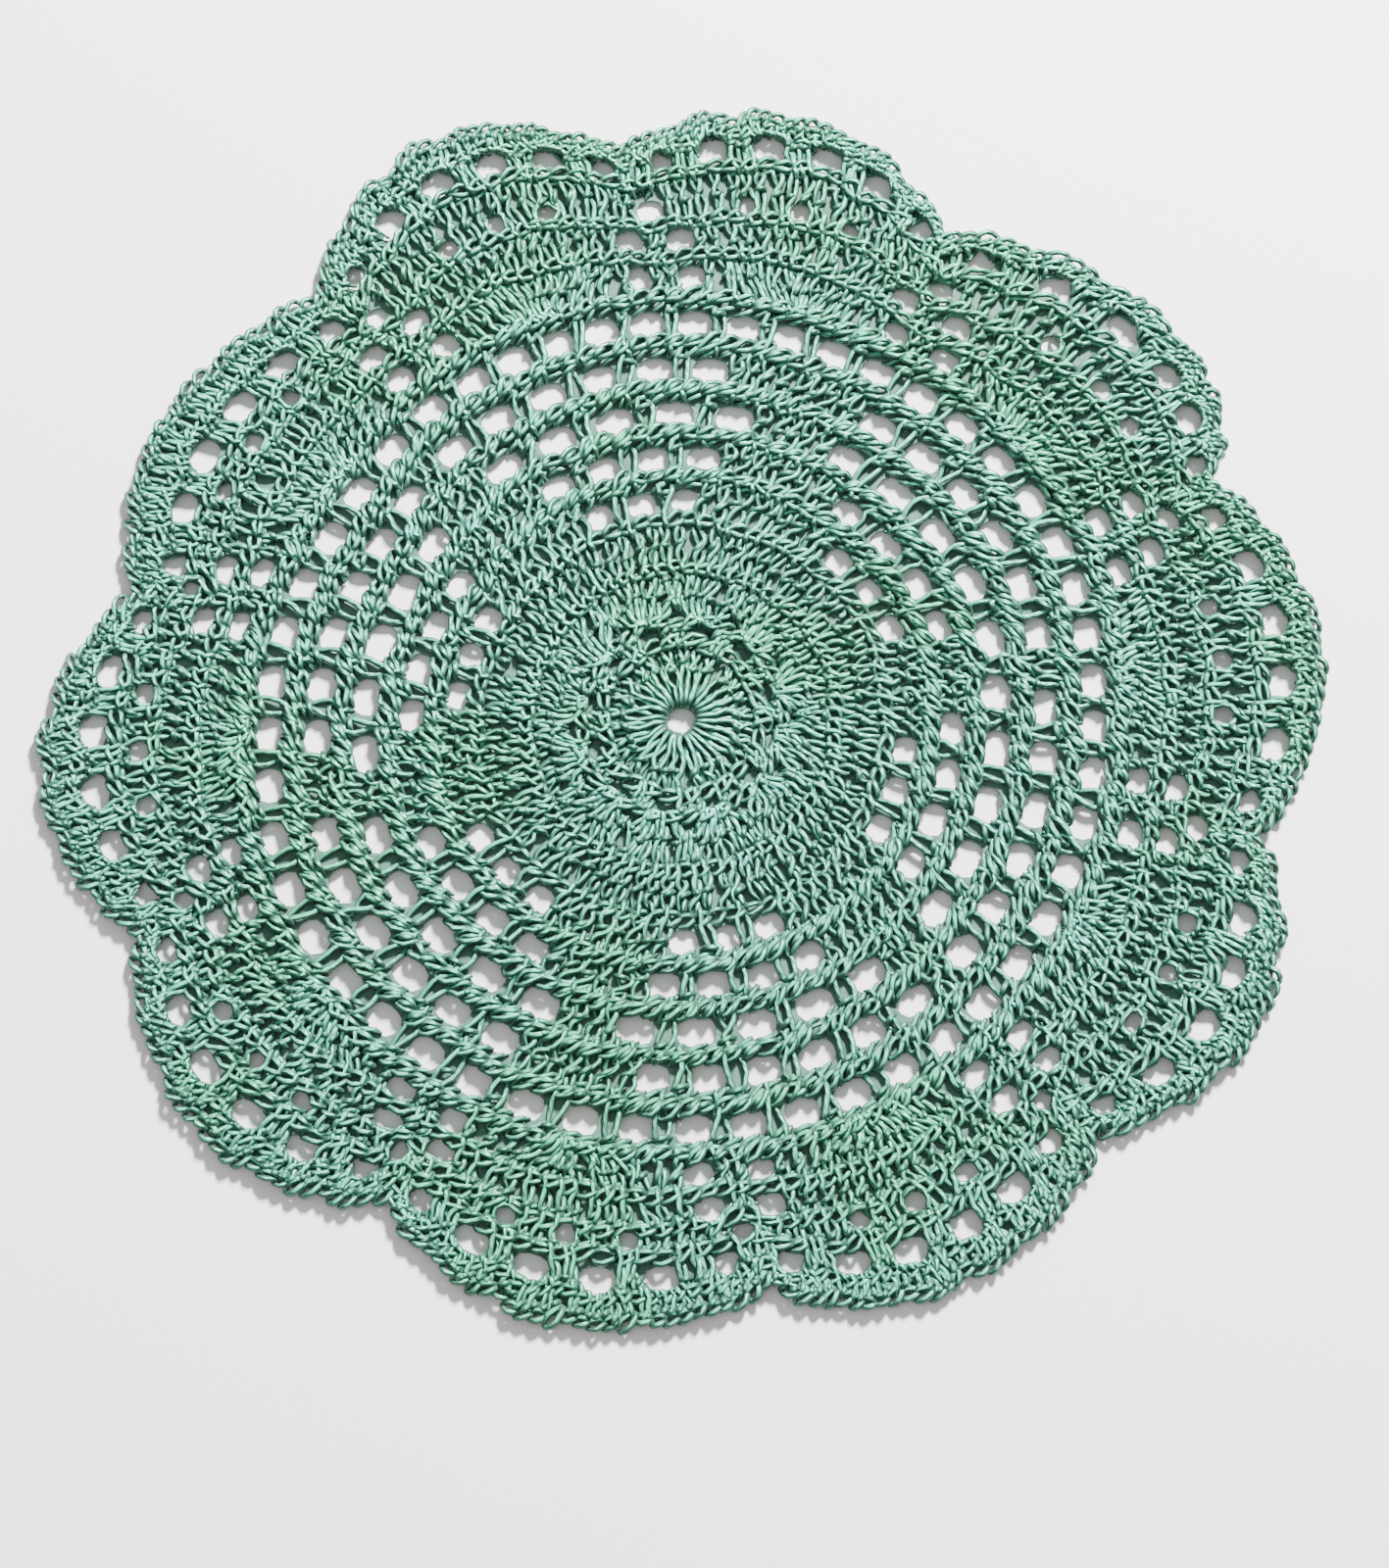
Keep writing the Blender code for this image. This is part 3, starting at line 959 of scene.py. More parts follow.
@dataclass(frozen=True)
class Spinner:
    """Spins lines into round thread with a Geometry Nodes tree."""

    plan: Plan
    material: bpy.types.Material
    radius: float = 0.6 * MM
    sides: int = 6
    unevenness: float = 0.1
    lump_scale: float = 900.0
    lowest: float = 1.1
    seed: int = 11

    def settings(self) -> dict[str, tuple[str, Fed]]:
        """Lists the tree's named inputs.

        Returns:
            For each name, its kind of socket and what it is given.
        """
        return {
            "Thread Radius": ("NodeSocketFloat", self.radius),
            "Sides": ("NodeSocketInt", self.sides),
            "Unevenness": ("NodeSocketFloat", self.unevenness),
            "Lump Scale": ("NodeSocketFloat", self.lump_scale),
            "Seed": ("NodeSocketFloat", float(self.seed)),
            "Finish": ("NodeSocketMaterial", self.material),
        }

    def tree(self) -> tuple[bpy.types.GeometryNodeTree, dict[str, str]]:
        """Builds the tree.

        Returns:
            The tree, and the identifier of each of its named inputs.
        """
        tree = bpy.data.node_groups.new("spun thread", "GeometryNodeTree")
        sockets = {}
        tree.interface.new_socket("Lines", in_out="INPUT", socket_type="NodeSocketGeometry")
        for name, (kind, _) in self.settings().items():
            socket = tree.interface.new_socket(name, in_out="INPUT", socket_type=kind)
            sockets[name] = socket.identifier
        tree.interface.new_socket("Thread", in_out="OUTPUT", socket_type="NodeSocketGeometry")
        bench = Bench(tree)
        given = bench.add("NodeGroupInput").outputs

        lines = bench.add("GeometryNodeMeshToCurve", {"Mesh": given["Lines"]}).outputs["Curve"]
        length = bench.add("GeometryNodeSplineParameter").outputs["Length"]
        run = bench.keep(lines, "FLOAT", "Run", length).outputs
        lump_inputs = {"Scale": given["Lump Scale"], "W": given["Seed"]}
        lumps = bench.add("ShaderNodeTexNoise", lump_inputs, noise_dimensions="4D").outputs["Fac"]
        uneven = bench.sum_of("SUBTRACT", lumps, 0.5)
        thick = bench.sum_of("MULTIPLY_ADD", uneven, given["Unevenness"], 1.0)
        swell = bench.add("GeometryNodeInputNamedAttribute", {"Name": "swell"}, data_type="FLOAT")
        scale = bench.sum_of("MULTIPLY", thick, swell.outputs["Attribute"])

        ring_inputs = {"Resolution": given["Sides"], "Radius": given["Thread Radius"]}
        ring = bench.add("GeometryNodeCurvePrimitiveCircle", ring_inputs, mode="RADIUS").outputs["Curve"]
        spot = bench.add("GeometryNodeInputPosition").outputs["Position"]
        around = bench.keep(ring, "VECTOR", "Around", spot).outputs
        tube_inputs = {
            "Curve": run["Geometry"],
            "Profile Curve": around["Geometry"],
            "Scale": scale,
            "Fill Caps": True,
        }
        tube = bench.add("GeometryNodeCurveToMesh", tube_inputs).outputs["Mesh"]
        round_place = bench.split(around["Around"]).outputs
        place_inputs = {"X": round_place["X"], "Y": round_place["Y"], "Z": run["Run"]}
        place = bench.add("ShaderNodeCombineXYZ", place_inputs).outputs[0]
        # The normal's upward part, stored as upward, steers where the thread finish paints its highlight.
        normal = bench.add("GeometryNodeInputNormal").outputs["Normal"]
        spun = bench.store(tube, "FLOAT_VECTOR", "thread_place", place)
        spun = bench.store(spun, "FLOAT", "upward", bench.split(normal).outputs["Z"])
        spun = bench.add("GeometryNodeSetShadeSmooth", {"Geometry": spun}).outputs["Geometry"]
        spun = bench.add("GeometryNodeRealizeInstances", {"Geometry": spun}).outputs["Geometry"]
        finish_inputs = {"Geometry": spun, "Material": given["Finish"]}
        finished = bench.add("GeometryNodeSetMaterial", finish_inputs).outputs["Geometry"]
        bench.add("NodeGroupOutput", {"Thread": finished})
        return tree, sockets

    def spin(self, name: str, thread: Thread) -> bpy.types.Object:
        """Turns laid thread into one plain mesh object.

        Args:
            name: the piece's name.
            thread: the lines.

        Returns:
            The object, at the origin of the solid's frame.
        """
        shift_x, shift_y = self.plan.shift()
        lines = bpy.data.meshes.new(name + "_lines")
        places = [
            ((x + shift_x) * MM, (y + shift_y) * MM, max(z * MM, self.lowest * self.radius))
            for x, y, z in thread.points
        ]
        lines.from_pydata(places, thread.edges, [])
        for attribute, values in (("tint", thread.tints), ("swell", thread.swells)):
            lines.attributes.new(attribute, "FLOAT", "POINT").data.foreach_set("value", values)
        piece = bpy.data.objects.new(name, lines)
        bpy.context.scene.collection.objects.link(piece)
        tree, sockets = self.tree()
        modifier = piece.modifiers.new("spun thread", "NODES")
        modifier.node_group = tree
        for setting, (_, value) in self.settings().items():
            modifier[sockets[setting]] = value
        graph = bpy.context.evaluated_depsgraph_get()
        spun = bpy.data.meshes.new_from_object(piece.evaluated_get(graph), depsgraph=graph)
        piece.modifiers.remove(modifier)
        piece.data = spun
        spun.name = name
        bpy.data.meshes.remove(lines)
        return piece


@dataclass
class Centre:
    """The ring that the doily starts from, its rosette of long stitches, and the chain round."""

    plan: Plan
    stitches: int = 26
    top: float = 14.9
    slots: int = 12
    slot_turn: float = 10.9
    slot_radius: float = 18.0
    slot_size: tuple[float, float] = (3.6, 1.9)
    anchor_leans: tuple[float, ...] = (-5.6, 0.0, 5.6)
    chain_radius: float = 19.9
    chain_dip: float = 0.45
    chain_links: int = 38
    over: tuple[Place, ...] = (
        (2.9, 0.0, 0.7),
        (3.0, 0.0, 1.6),
        (3.7, 0.0, 2.5),
        (5.0, -0.05, 2.75),
        (6.8, -0.35, 2.4),
        (8.6, -0.8, 2.1),
        (10.6, -0.7, 2.2),
        (12.6, 0.5, 1.7),
        (14.1, 0.8, 1.7),
        (15.2, 0.3, 1.2),
    )
    under: tuple[Place, ...] = (
        (4.2, 0.3, 1.2),
        (5.6, 0.45, 1.6),
        (7.4, 0.7, 1.9),
        (9.2, 1.0, 2.05),
        (11.2, 0.6, 1.7),
        (13.0, -0.5, 2.2),
        (14.6, -0.7, 1.5),
    )
    lower: tuple[Point, ...] = ((6.0, 0.75), (8.0, 1.1), (10.5, 1.25), (13.0, 1.1), (15.4, 0.8))
    lower_turn: float = -1.5
    wrap_at: tuple[float, float] = (10.8, 0.5)
    wrap_width: float = 0.5
    angle_spread: float = 0.9
    far_spread: float = 1.2
    side_spread: float = 0.25
    side_shift: float = 0.1
    rim_past: float = 0.6
    rim_sink: float = 0.1
    anchor_foot: float = 1.2
    anchor_head: float = 0.6
    anchor_spread: tuple[float, float] = (0.6, 0.6)
    chain_width: float = 0.9

    def strand(self, hook: Hook, near: Point, far: Point, reach: float, bends: tuple[Place, ...]) -> None:
        """Lays one strand of a long stitch.

        Args:
            hook: what lays it.
            near: the centre of the rounds.
            far: where the stitch ends.
            reach: how far that is from the centre.
            bends: the strand's distances from the centre, with how far aside and how high it is there.
        """
        line = []
        for radius, side, up in bends:
            wide = side * (1 + hook.chance.gauss(0, self.side_spread))
            wide += hook.chance.gauss(0, self.side_shift)
            line.append(hook.beside(near, far, radius / reach, wide, up))
        hook.thread.lay(line, hook.tint(), hook.thick())

    def work(self, hook: Hook) -> None:
        """Lays the thread of these rounds.

        Args:
            hook: what lays it.
        """
        plan = self.plan
        chance = hook.chance
        turn = 360 / self.stitches
        for i in range(self.stitches):
            angle = i * turn + chance.gauss(0, self.angle_spread)
            reach = plan.pulled(angle, self.top)
            near = on_clock(angle, 0.0)
            far = on_clock(angle + chance.gauss(0, self.far_spread), reach)
            self.strand(hook, near, far, reach, self.over)
            self.strand(hook, near, far, reach, self.under)
            hook.wrap(near, far, chance.gauss(*self.wrap_at) / reach, self.wrap_width)
            lower = []
            for radius, up in self.lower:
                lower.append(hook.beside(near, far, radius / reach, self.lower_turn * radius / reach, up))
            hook.thread.lay(lower, hook.tint(), hook.thick())
        rim = [plan.on_round(i * turn, self.top + self.rim_past) for i in range(self.stitches + 1)]
        hook.chain(rim, sink=self.rim_sink)
        part = 360 / self.slots
        for i in range(self.slots):
            anchor = self.slot_turn + (i + 0.5) * part
            for lean in self.anchor_leans:
                foot = plan.on_round(anchor + lean, self.top + self.anchor_foot)
                head = plan.on_round(anchor + lean, self.chain_radius - self.anchor_head)
                hook.post(foot, head, self.anchor_spread, Stitch.SHORT)
        path = []
        for i in range(self.chain_links + 1):
            angle = 360 * i / self.chain_links
            dip = math.cos(math.radians((angle - self.slot_turn) * self.slots))
            path.append(plan.on_round(angle, self.chain_radius + self.chain_dip * dip))
        hook.chain(path, self.chain_width)

    def slot_gaps(self) -> list[Gap]:
        """Sets out the slots under the shells, where only the thread parts, dark with real shade and with
        the painted shade of the inner sheet left uncut beneath.

        Returns:
            The slots.
        """
        part = 360 / self.slots
        places = [self.plan.on_round(self.slot_turn + i * part, self.slot_radius) for i in range(self.slots)]
        return [self.plan.gap_at(place, *self.slot_size) for place in places]


@dataclass
class InnerRounds:
    """Twelve shells of tall stitches, and the close round on them."""

    plan: Plan
    shells: int = 12
    shell_turn: float = 10.9
    shell_foot: float = 20.9
    shell_top: float = 29.8
    middle_posts: tuple[float, ...] = (-2.0, -1.0, 0.0, 1.0, 2.0)
    middle_foot_turn: float = 2.6
    middle_head_turn: float = 5.4
    side_foot_turn: float = 7.4
    side_head_turn: float = 14.2
    side_top: float = 25.9
    filler_foot: float = 24.6
    filler_turns: tuple[float, float] = (1.5, 2.9)
    solid_top: float = 39.6
    solid_stitches: int = 80
    chain_step: float = 3.1
    hole_radius: float = 35.8
    hole_angles: tuple[float, ...] = (54.0, 108.5, 168.5, 228.0, 288.0, 350.0)
    hole_size: tuple[float, float] = (3.0, 2.6)
    middle_spread: tuple[float, float] = (0.45, 0.8)
    side_spread: tuple[float, float] = (0.5, 0.75)
    solid_spread: tuple[float, float] = (0.72, 0.85)
    side_past: float = 0.3
    shell_links: int = 6
    shell_chain: float = 0.7
    solid_foot: float = 1.2
    solid_chain: float = 1.0
    shell_sink: float = 0.3
    solid_sink: float = 0.5

    def work(self, hook: Hook) -> None:
        """Lays the thread of these rounds.

        Args:
            hook: what lays it.
        """
        plan = self.plan
        part = 360 / self.shells
        for shell in range(self.shells):
            middle = self.shell_turn + shell * part
            for post in self.middle_posts:
                foot = plan.on_round(middle + post * self.middle_foot_turn, self.shell_foot)
                head = plan.on_round(middle + post * self.middle_head_turn, self.shell_top)
                hook.post(foot, head, self.middle_spread, Stitch.TALL)
            for side in (-1, 1):
                foot = plan.on_round(middle + side * self.side_foot_turn, self.shell_foot + self.side_past)
                head = plan.on_round(middle + side * self.side_head_turn, self.side_top)
                hook.post(foot, head, self.side_spread, Stitch.SHORT)
                border = middle + part / 2
                foot = plan.on_round(border + side * self.filler_turns[0], self.filler_foot)
                head = plan.on_round(border + side * self.filler_turns[1], self.shell_top)
                hook.post(foot, head, self.side_spread, Stitch.SHORT)
        steps = self.shells * self.shell_links
        hook.chain(plan.ring(steps, self.shell_top + self.shell_chain), sink=self.shell_sink)
        for i in range(self.solid_stitches):
            angle = 360 * i / self.solid_stitches
            foot = plan.on_round(angle, self.shell_top + self.solid_foot)
            head = plan.on_round(angle, self.solid_top)
            hook.post(foot, head, self.solid_spread, Stitch.TALL)
        steps = round(2 * math.pi * self.solid_top / self.chain_step)
        hook.chain(plan.ring(steps, self.solid_top + self.solid_chain), sink=self.solid_sink)

    def small_holes(self) -> list[Gap]:
        """The six small holes in the close round, where only the thread parts, dark with real shade and with
        the painted shade of the inner sheet left uncut beneath.
        """
        places = [self.plan.on_round(angle, self.hole_radius) for angle in self.hole_angles]
        return [self.plan.gap_at(place, *self.hole_size) for place in places]


@dataclass
class OpenRound:
    """One round of mesh: posts between its gaps and in its wedges, and the chain on top."""

    plan: Plan
    gap_angles: list[float]
    radius: float
    gap_width: float
    foot: float
    head: float
    stitch_width: float = 3.25
    chain_step: float = 3.45
    back: float = 2.0
    lean: float = 0.5
    chain_past: float = 0.5
    widest: float = 1.5
    leg_room: float = 0.5

    def work(self, hook: Hook) -> None:
        """Lays the thread of this round.

        Args:
            hook: what lays it.
        """
        plan = self.plan
        half = math.degrees(self.gap_width / 2 / self.radius)
        angles = sorted(angle % 360 for angle in self.gap_angles)
        for here, after in zip(angles, [*angles[1:], angles[0] + 360]):
            start = here + half
            end = after - half
            width = math.radians(end - start) * self.radius
            count = max(1, round(width / self.stitch_width))
            wide = min(self.widest, width / count / 2 - self.leg_room)
            for i in range(count):
                angle = start + (end - start) * (i + 0.5) / count
                lean = math.degrees(self.lean / self.radius) / 2
                foot = plan.on_round(angle - lean, self.foot)
                head = plan.on_round(angle + lean, self.head)
                stitch = Stitch.SHORT if count == 1 else Stitch.TALL
                hook.post(foot, head, (wide, wide), stitch)
        steps = round(2 * math.pi * self.head / self.chain_step)
        path = plan.ring(steps, self.head + self.chain_past)
        hook.chain(path, back=self.back)
        for start, end in zip(path, path[1:]):
            hook.cross(start, end)


@dataclass(frozen=True)
class FanRow:
    """A row of a fan: how far out it starts and ends, where its stitches stand, and how their feet draw in.

    A row with no end of its own ends just short of the gaps behind the edging.
    """

    start: float
    end: float | None
    edge_posts: tuple[float, ...]
    first: float
    last: float
    stitches: int
    draw_in: float


@dataclass
class Fans:
    """Ten fans on the last mesh round, each of three rows."""

    plan: Plan
    rows: tuple[FanRow, ...] = (
        FanRow(0.02, 0.225, (-0.024, 0.024), 0.165, 0.835, 17, 0.42),
        FanRow(0.245, 0.43, (-0.02, 0.02), 0.16, 0.84, 14, 0.9),
        FanRow(0.45, None, (), 0.085, 0.96, 19, 0.97),
    )
    chain_step: float = 3.2
    row_gap: float = 4.4
    tall_over: float = 6.4
    span: float = 62.0
    narrow_foot: float = 0.4
    usual_foot: float = 0.75
    head_spread: float = 0.85
    narrow_below: float = 0.8
    chain_past: float = 0.012
    chain_back: float = 1.7
    chain_sink: float = 0.15

    def row_end(self, index: int, row: FanRow) -> float:
        """Finds where a row ends.

        Args:
            index: which scallop.
            row: the row.

        Returns:
            How far out, from 0 to 1.
        """
        depth = self.plan.scallops[index].crown - self.plan.fan_base
        limit = self.plan.edge_gap_out(index) - self.row_gap / depth
        return limit if row.end is None else row.end

    def work(self, hook: Hook, row: FanRow) -> None:
        """Lays the thread of one row in every fan.

        Args:
            hook: what lays it.
            row: which row.
        """
        plan = self.plan
        for index in range(len(plan.scallops)):
            end = self.row_end(index, row)
            height = (end - row.start) * (plan.scallops[index].crown - plan.fan_base)
            stitch = Stitch.TALL if height > self.tall_over else Stitch.SHORT
            places = [(across, across) for across in row.edge_posts]
            for i in range(row.stitches):
                across = row.first + (row.last - row.first) * i / (row.stitches - 1)
                aside = (across - 0.5) / (row.last - 0.5)
                drawn = row.draw_in + (1 - row.draw_in) * aside * aside
                places.append((0.5 + (across - 0.5) * drawn, across))
            for low, high in places:
                foot = plan.in_scallop(index, low, row.start)
                head = plan.in_scallop(index, high, end)
                narrow = row.draw_in < self.narrow_below and low != high
                foot_spread = self.narrow_foot if narrow else self.usual_foot
                hook.post(foot, head, (foot_spread, self.head_spread), stitch)
            steps = round(self.span / self.chain_step)
            path = plan.arc(index, steps, end + self.chain_past)
            hook.chain(path, back=self.chain_back, sink=self.chain_sink)


@dataclass
class Edging:
    """The open row behind the edging, and its six shells to a scallop."""

    plan: Plan
    post_places: tuple[float, ...] = (0.1675, 0.333, 0.5, 0.667, 0.8325)
    post_sides: tuple[float, ...] = (-0.024, 0.0, 0.024)
    notch_posts: tuple[float, ...] = (-0.036, -0.012, 0.012, 0.036)
    behind: float = 3.6
    past: float = 3.3
    shell_stitches: int = 7
    foot_share: float = 0.135
    head_share: float = 0.16
    inset: float = 1.7
    edge_links: int = 5
    post_spread: tuple[float, float] = (0.6, 0.7)
    shell_spread: tuple[float, float] = (0.5, 0.75)
    chain_past: float = 0.01
    low_width: float = 0.85
    low_sink: float = 0.2
    top_width: float = 0.9
    top_sink: float = 0.35

    def reach(self, index: int) -> tuple[float, float]:
        """Finds where a scallop's open row starts and ends.

        Args:
            index: which scallop.

        Returns:
            How far out each is, from 0 to 1.
        """
        depth = self.plan.scallops[index].crown - self.plan.fan_base
        middle = self.plan.edge_gap_out(index)
        return middle - self.behind / depth, middle + self.past / depth

    def work_open_row(self, hook: Hook) -> None:
        """Lays the posts between the gaps behind the edging.

        Args:
            hook: what lays them.
        """
        plan = self.plan
        for index in range(len(plan.scallops)):
            low, high = self.reach(index)
            posts = [place + side for place in self.post_places for side in self.post_sides]
            for across in (*self.notch_posts, *posts):
                foot = plan.in_scallop(index, across, low)
                head = plan.in_scallop(index, across, high)
                hook.post(foot, head, self.post_spread, Stitch.SHORT)

    def work_shells(self, hook: Hook) -> None:
        """Lays the shells of the edging and the chains on both sides of them.

        Args:
            hook: what lays them.
        """
        plan = self.plan
        for index in range(len(plan.scallops)):
            high = self.reach(index)[1]
            bumps = plan.shell_bumps
            for shell in range(bumps):
                centre = (shell + 0.5) / bumps
                for i in range(self.shell_stitches):
                    share = (i + 0.5) / self.shell_stitches - 0.5
                    foot = plan.in_scallop(index, centre + share * self.foot_share, high)
                    head = plan.in_scallop(index, centre + share * self.head_share, 1.0, self.inset)
                    hook.post(foot, head, self.shell_spread, Stitch.SHORT)
            steps = bumps * self.edge_links
            hook.chain(plan.arc(index, steps, high + self.chain_past), self.low_width, sink=self.low_sink)
            hook.chain(plan.arc(index, steps, 1.0, self.inset), self.top_width, sink=self.top_sink)


@dataclass
class InnerSheet:
    """A thin sheet with the doily's outline and gaps, coloured as painted shade, standing in for the thread
    hidden in the cloth.
    """

    plan: Plan
    # Its material is painted shade.
    finish: PaintedHollowShade
    low: float = 0.45
    high: float = 1.05
    inset: float = 1.5
    clear: float = 0.3
    wall: float = 0.5
    hole_steps: int = 12
    hole_power: float = 2.8
    ripple: float = 0.16
    scatter: int = 2400
    scatter_radius: float = 120.0
    ring_clear: float = 0.3
    merge: float = 1e-7
    seed: int = 5

    def holes(self) -> list[list[Point]]:
        """Sets out the holes, a little wider than the gaps where there is room between them.

        Returns:
            The holes' rims.
        """
        gaps = self.plan.gaps()
        middles = np.array([gap.middle for gap in gaps])
        reach = np.array([max(gap.width, gap.depth) / 2 for gap in gaps])
        found = []
        for index, gap in enumerate(gaps):
            room = np.linalg.norm(middles - middles[index], axis=1) - reach - reach[index]
            room[index] = np.inf
            grow = min(self.clear, max(0.0, (float(room.min()) - self.wall) / 2))
            side, out = gap.axes()
            loop = []
            for i in range(self.hole_steps):
                turn = 2 * math.pi * (i + 0.5) / self.hole_steps
                across, along = math.cos(turn), math.sin(turn)
                power = self.hole_power
                scale = (abs(across) ** power + abs(along) ** power) ** (-1 / power)
                across *= scale * (gap.width / 2 + grow)
                along *= scale * (gap.depth / 2 + grow)
                x = gap.middle[0] + side[0] * across + out[0] * along
                loop.append((x, gap.middle[1] + side[1] * across + out[1] * along))
            found.append(loop)
        return found

    def build(self) -> bpy.types.Object:
        """Makes the sheet.

        Returns:
            The object, at the origin of the solid's frame.
        """
        plan = self.plan
        reach = plan.ring_hole + self.ring_clear
        ring = [on_clock(-360 * i / plan.ring_sides, reach) for i in range(plan.ring_sides)]
        chance = random.Random(self.seed)
        points, faces = [], []
        for loop in [plan.outline(self.inset), ring, *self.holes()]:
            faces.append(list(range(len(points), len(points) + len(loop))))
            points += loop
        rim = len(points)
        for _ in range(self.scatter):
            turn = chance.uniform(0, 360)
            points.append(on_clock(turn, self.scatter_radius * math.sqrt(chance.random())))
        made, _, cells, _, _, sources = delaunay_2d_cdt(points, [], faces, 1, self.merge)
        kept = [cell for cell, source in zip(cells, sources) if source == [0]]
        shift_x, shift_y = plan.shift()
        shape = bmesh.new()
        floor, roof = {}, {}
        for index in sorted({corner for cell in kept for corner in cell}):
            x, y = made[index]
            lift = 0.0 if index < rim else chance.uniform(-self.ripple, self.ripple)
            across, along = (x + shift_x) * MM, (y + shift_y) * MM
            floor[index] = shape.verts.new((across, along, self.low * MM))
            roof[index] = shape.verts.new((across, along, (self.high + lift) * MM))
        runs = {(a, b) for cell in kept for a, b in zip(cell, [*cell[1:], cell[0]])}
        for cell in kept:
            shape.faces.new([floor[i] for i in reversed(cell)])
            shape.faces.new([roof[i] for i in cell])
        for a, b in sorted(runs):
            if (b, a) not in runs:
                shape.faces.new((floor[a], floor[b], roof[b], roof[a]))
        mesh = bpy.data.meshes.new("inner_sheet")
        shape.to_mesh(mesh)
        shape.free()
        mesh.materials.append(self.finish.material())
        piece = bpy.data.objects.new("inner_sheet", mesh)
        bpy.context.scene.collection.objects.link(piece)
        return piece

    def area(self) -> float:
        """Measures the doily laid flat.

        Returns:
            Its area in square metres, without its gaps.
        """
        def area_of(loop: list[Point]) -> float:
            """The area inside a loop, in square millimetres."""
            pairs = zip(loop, [*loop[1:], loop[0]])
            return abs(sum(a[0] * b[1] - b[0] * a[1] for a, b in pairs)) / 2

        whole = area_of(self.plan.outline())
        gaps = sum(area_of(gap.corners(0.0)) for gap in self.plan.gaps())
        return (whole - gaps) * MM * MM


@dataclass
class Studio:
    """A plain pale floor, soft light from the upper right, and the camera above the near side."""

    floor_size: float = 6.0
    floor_colour: Colour = (0.9, 0.88, 0.86, 1)
    key_power: float = 112.0
    key_place: Place = (0.42, 0.95, 0.82)
    key_size: float = 0.22
    fill_power: float = 3.0
    fill_place: Place = (-0.9, -0.6, 1.3)
    fill_size: float = 1.6
    sky: float = 0.62
    lean: float = 17.0
    camera_back: float = -259.831
    camera_side: float = 2.576
    camera_up: float = 809.4
    lens: float = 100.2
    sensor: float = 36.0
    nearest: float = 0.01
    floor_roughness: float = 0.9

    def lamp(self, name: str, place: Place, size: float, power: float) -> None:
        """Hangs a square lamp that shines on the doily.

        Args:
            name: the lamp's name.
            place: where it hangs.
            size: the length of its side.
            power: its power in watts.
        """
        data = bpy.data.lights.new(name, "AREA")
        data.size = size
        data.energy = power
        lamp = bpy.data.objects.new(name, data)
        lamp.location = place
        lamp.rotation_euler = (-Vector(place)).to_track_quat("-Z", "Y").to_euler()
        bpy.context.scene.collection.objects.link(lamp)

    def build(self, plan: Plan) -> None:
        """Makes the floor, the lamps and the camera.

        Args:
            plan: the doily's plan, for the place of its centre.
        """
        half = self.floor_size / 2
        mesh = bpy.data.meshes.new("floor")
        corners = [(-half, -half, 0), (half, -half, 0), (half, half, 0), (-half, half, 0)]
        mesh.from_pydata(corners, [], [(0, 1, 2, 3)])
        surface = {"Base Color": self.floor_colour, "Roughness": self.floor_roughness}
        mesh.materials.append(bare_material("pale floor", surface)[0])
        floor = bpy.data.objects.new("floor", mesh)
        bpy.context.scene.collection.objects.link(floor)
        self.lamp("key", self.key_place, self.key_size, self.key_power)
        self.lamp("fill", self.fill_place, self.fill_size, self.fill_power)
        world = bpy.data.worlds.new("studio")
        world.use_nodes = True
        world.node_tree.nodes["Background"].inputs["Color"].default_value = (1, 1, 1, 1)
        world.node_tree.nodes["Background"].inputs["Strength"].default_value = self.sky
        bpy.context.scene.world = world
        shift_x, shift_y = plan.shift()
        data = bpy.data.cameras.new("camera")
        data.lens = self.lens
        data.sensor_width = self.sensor
        data.clip_start = self.nearest
        camera = bpy.data.objects.new("camera", data)
        camera.location = (
            (self.camera_side + shift_x) * MM,
            (self.camera_back + shift_y) * MM,
            self.camera_up * MM,
        )
        camera.rotation_euler = (math.radians(self.lean), 0, 0)
        bpy.context.scene.collection.objects.link(camera)
        bpy.context.scene.camera = camera


@dataclass(frozen=True)
class Seeds:
    """Where the random numbers of each round's hook start, so that every run gives the same doily."""

    centre: int = 1
    inner_rounds: int = 2
    mesh_rounds: int = 10
    fan_rows: int = 20
    open_row: int = 30
    edging: int = 31


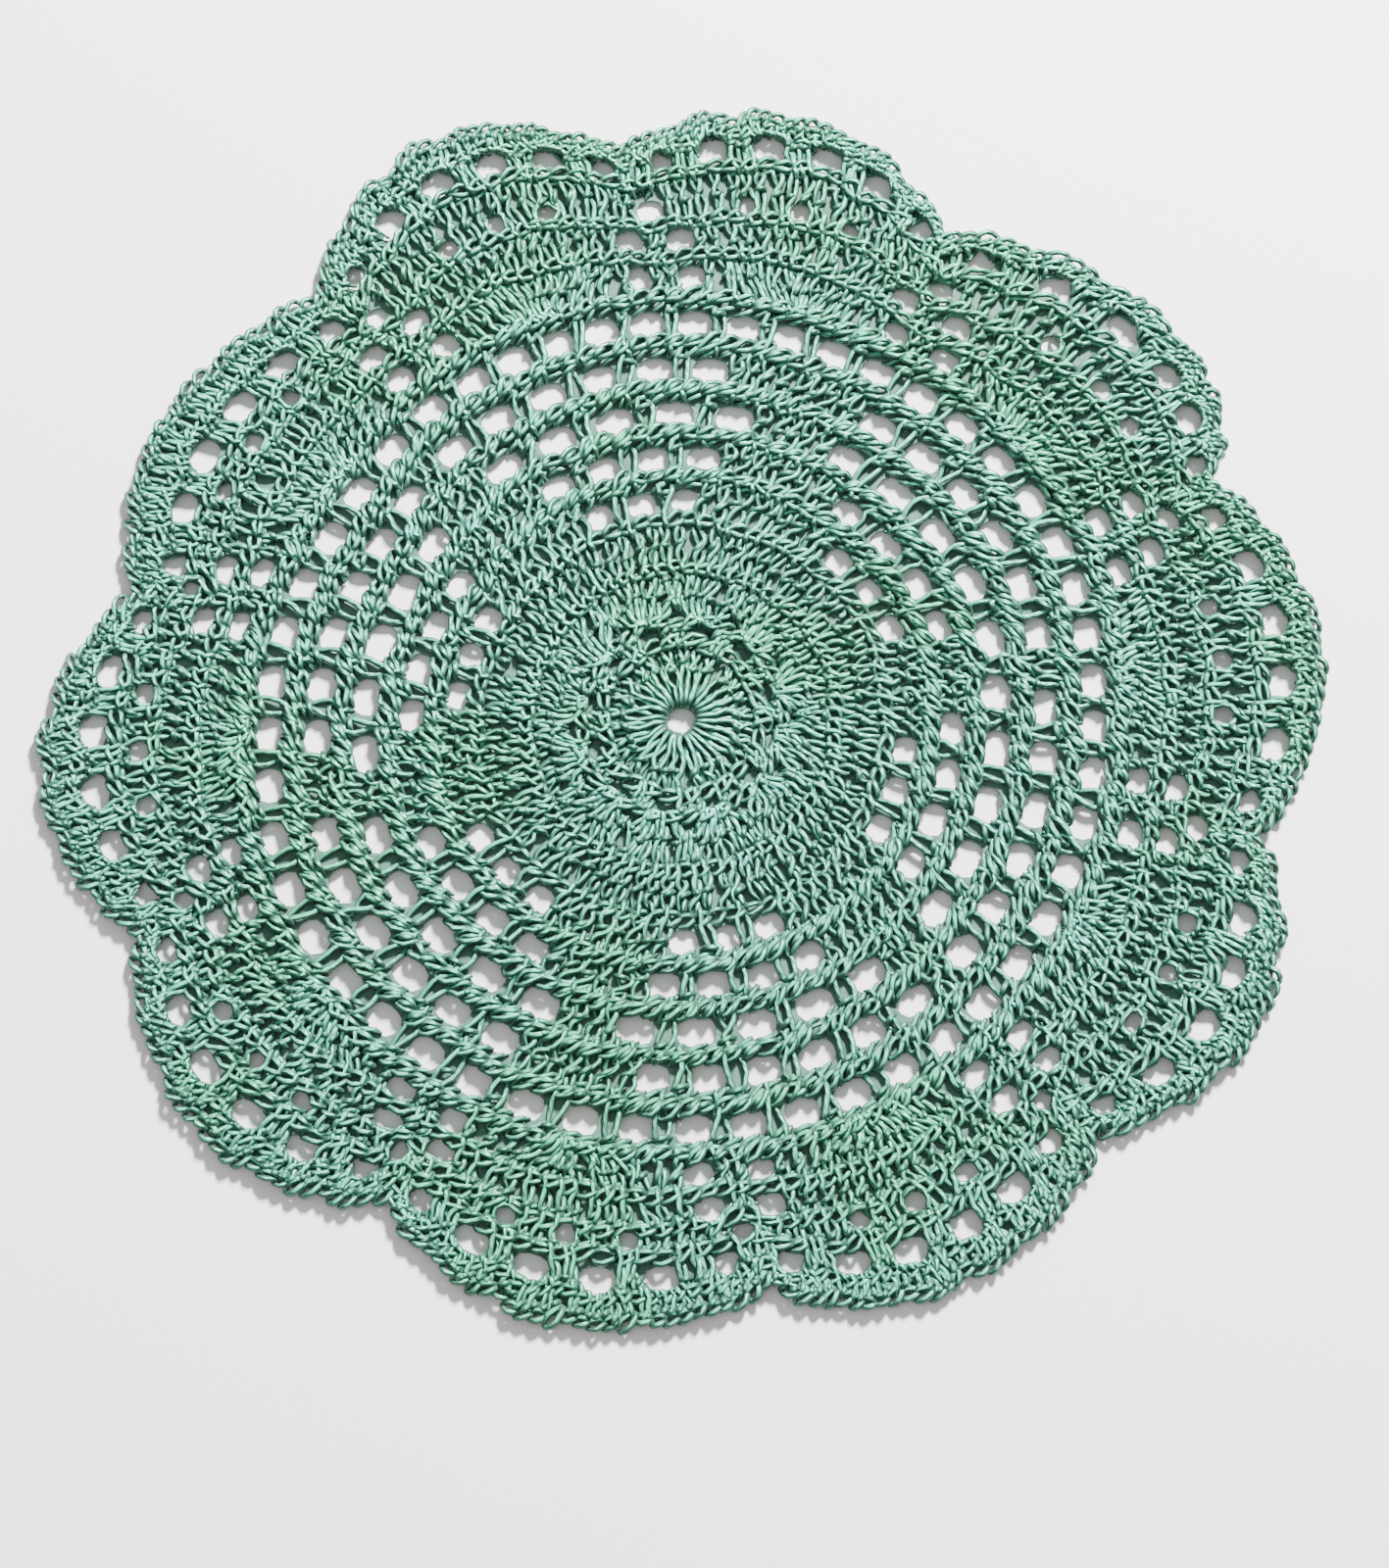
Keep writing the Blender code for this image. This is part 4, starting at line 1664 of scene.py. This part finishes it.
def open_rounds(plan: Plan) -> list[OpenRound]:
    """Sets out the five rounds of mesh, each between the bars halfway to its neighbours.

    Args:
        plan: the doily's plan.

    Returns:
        The rounds, from the inside out.
    """
    rounds = []
    for mesh, foot, head in zip(plan.mesh_rounds, plan.bars, plan.bars[1:]):
        angles = plan.mesh_angles(mesh)
        rounds.append(OpenRound(plan, angles, mesh.radius, mesh.gap_width, foot, head))
    last = OpenRound(plan, plan.last_angles(), plan.last_mesh, plan.last_gap[0], *plan.bars[-2:])
    return [*rounds, last]


def main() -> None:
    """Builds the doily and its studio, and writes how large the model came out."""
    logging.basicConfig(level=logging.INFO, format="%(message)s")
    plan = Plan()
    seeds = Seeds()
    gaps = plan.gaps()
    spinner = Spinner(plan, ThreadFinish().material())

    def finish_piece(name: str, hook: Hook) -> None:
        """Spins what a hook has laid and sets it on the doily's body.

        Args:
            name: the piece's name.
            hook: what laid its thread.
        """
        hook.thread.part_round(gaps, RIM_CLEAR * hook.radius, HandPull())
        piece = spinner.spin(name, hook.thread)
        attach(piece, BODY)
        LOG.info("%s: %d triangles", name, sum(len(p.vertices) - 2 for p in piece.data.polygons))

    centre = Centre(plan)
    inner = InnerRounds(plan)
    gaps += centre.slot_gaps() + inner.small_holes()
    hook = Hook(seeds.centre)
    centre.work(hook)
    finish_piece("centre", hook)
    hook = Hook(seeds.inner_rounds)
    inner.work(hook)
    finish_piece("inner_rounds", hook)
    for number, mesh in enumerate(open_rounds(plan), 1):
        seed = seeds.mesh_rounds + number
        hook = Hook(seed, link_slant=MESH_SLANT, slant_spread=MESH_SLANT_SPREAD)
        mesh.work(hook)
        finish_piece(f"mesh_round_{number}", hook)
    fans = Fans(plan)
    for number, row in enumerate(fans.rows, 1):
        hook = Hook(seeds.fan_rows + number)
        fans.work(hook, row)
        finish_piece(f"fan_row_{number}", hook)
    edging = Edging(plan)
    hook = Hook(seeds.open_row)
    edging.work_open_row(hook)
    finish_piece("open_row", hook)
    hook = Hook(seeds.edging, steps_per_eye=EDGING_STEPS)
    edging.work_shells(hook)
    finish_piece("edging", hook)

    # A dark sheet of painted shade under the thread, standing in for the thread hidden between the stitches.
    core = InnerSheet(plan, PaintedHollowShade())
    sheet = core.build()
    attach(sheet, BODY)
    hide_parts(SOLID)
    core.area()
    LOG.info("inner_sheet: %d faces", len(sheet.data.polygons))
    Studio().build(plan)


if __name__ == "__main__":
    main()
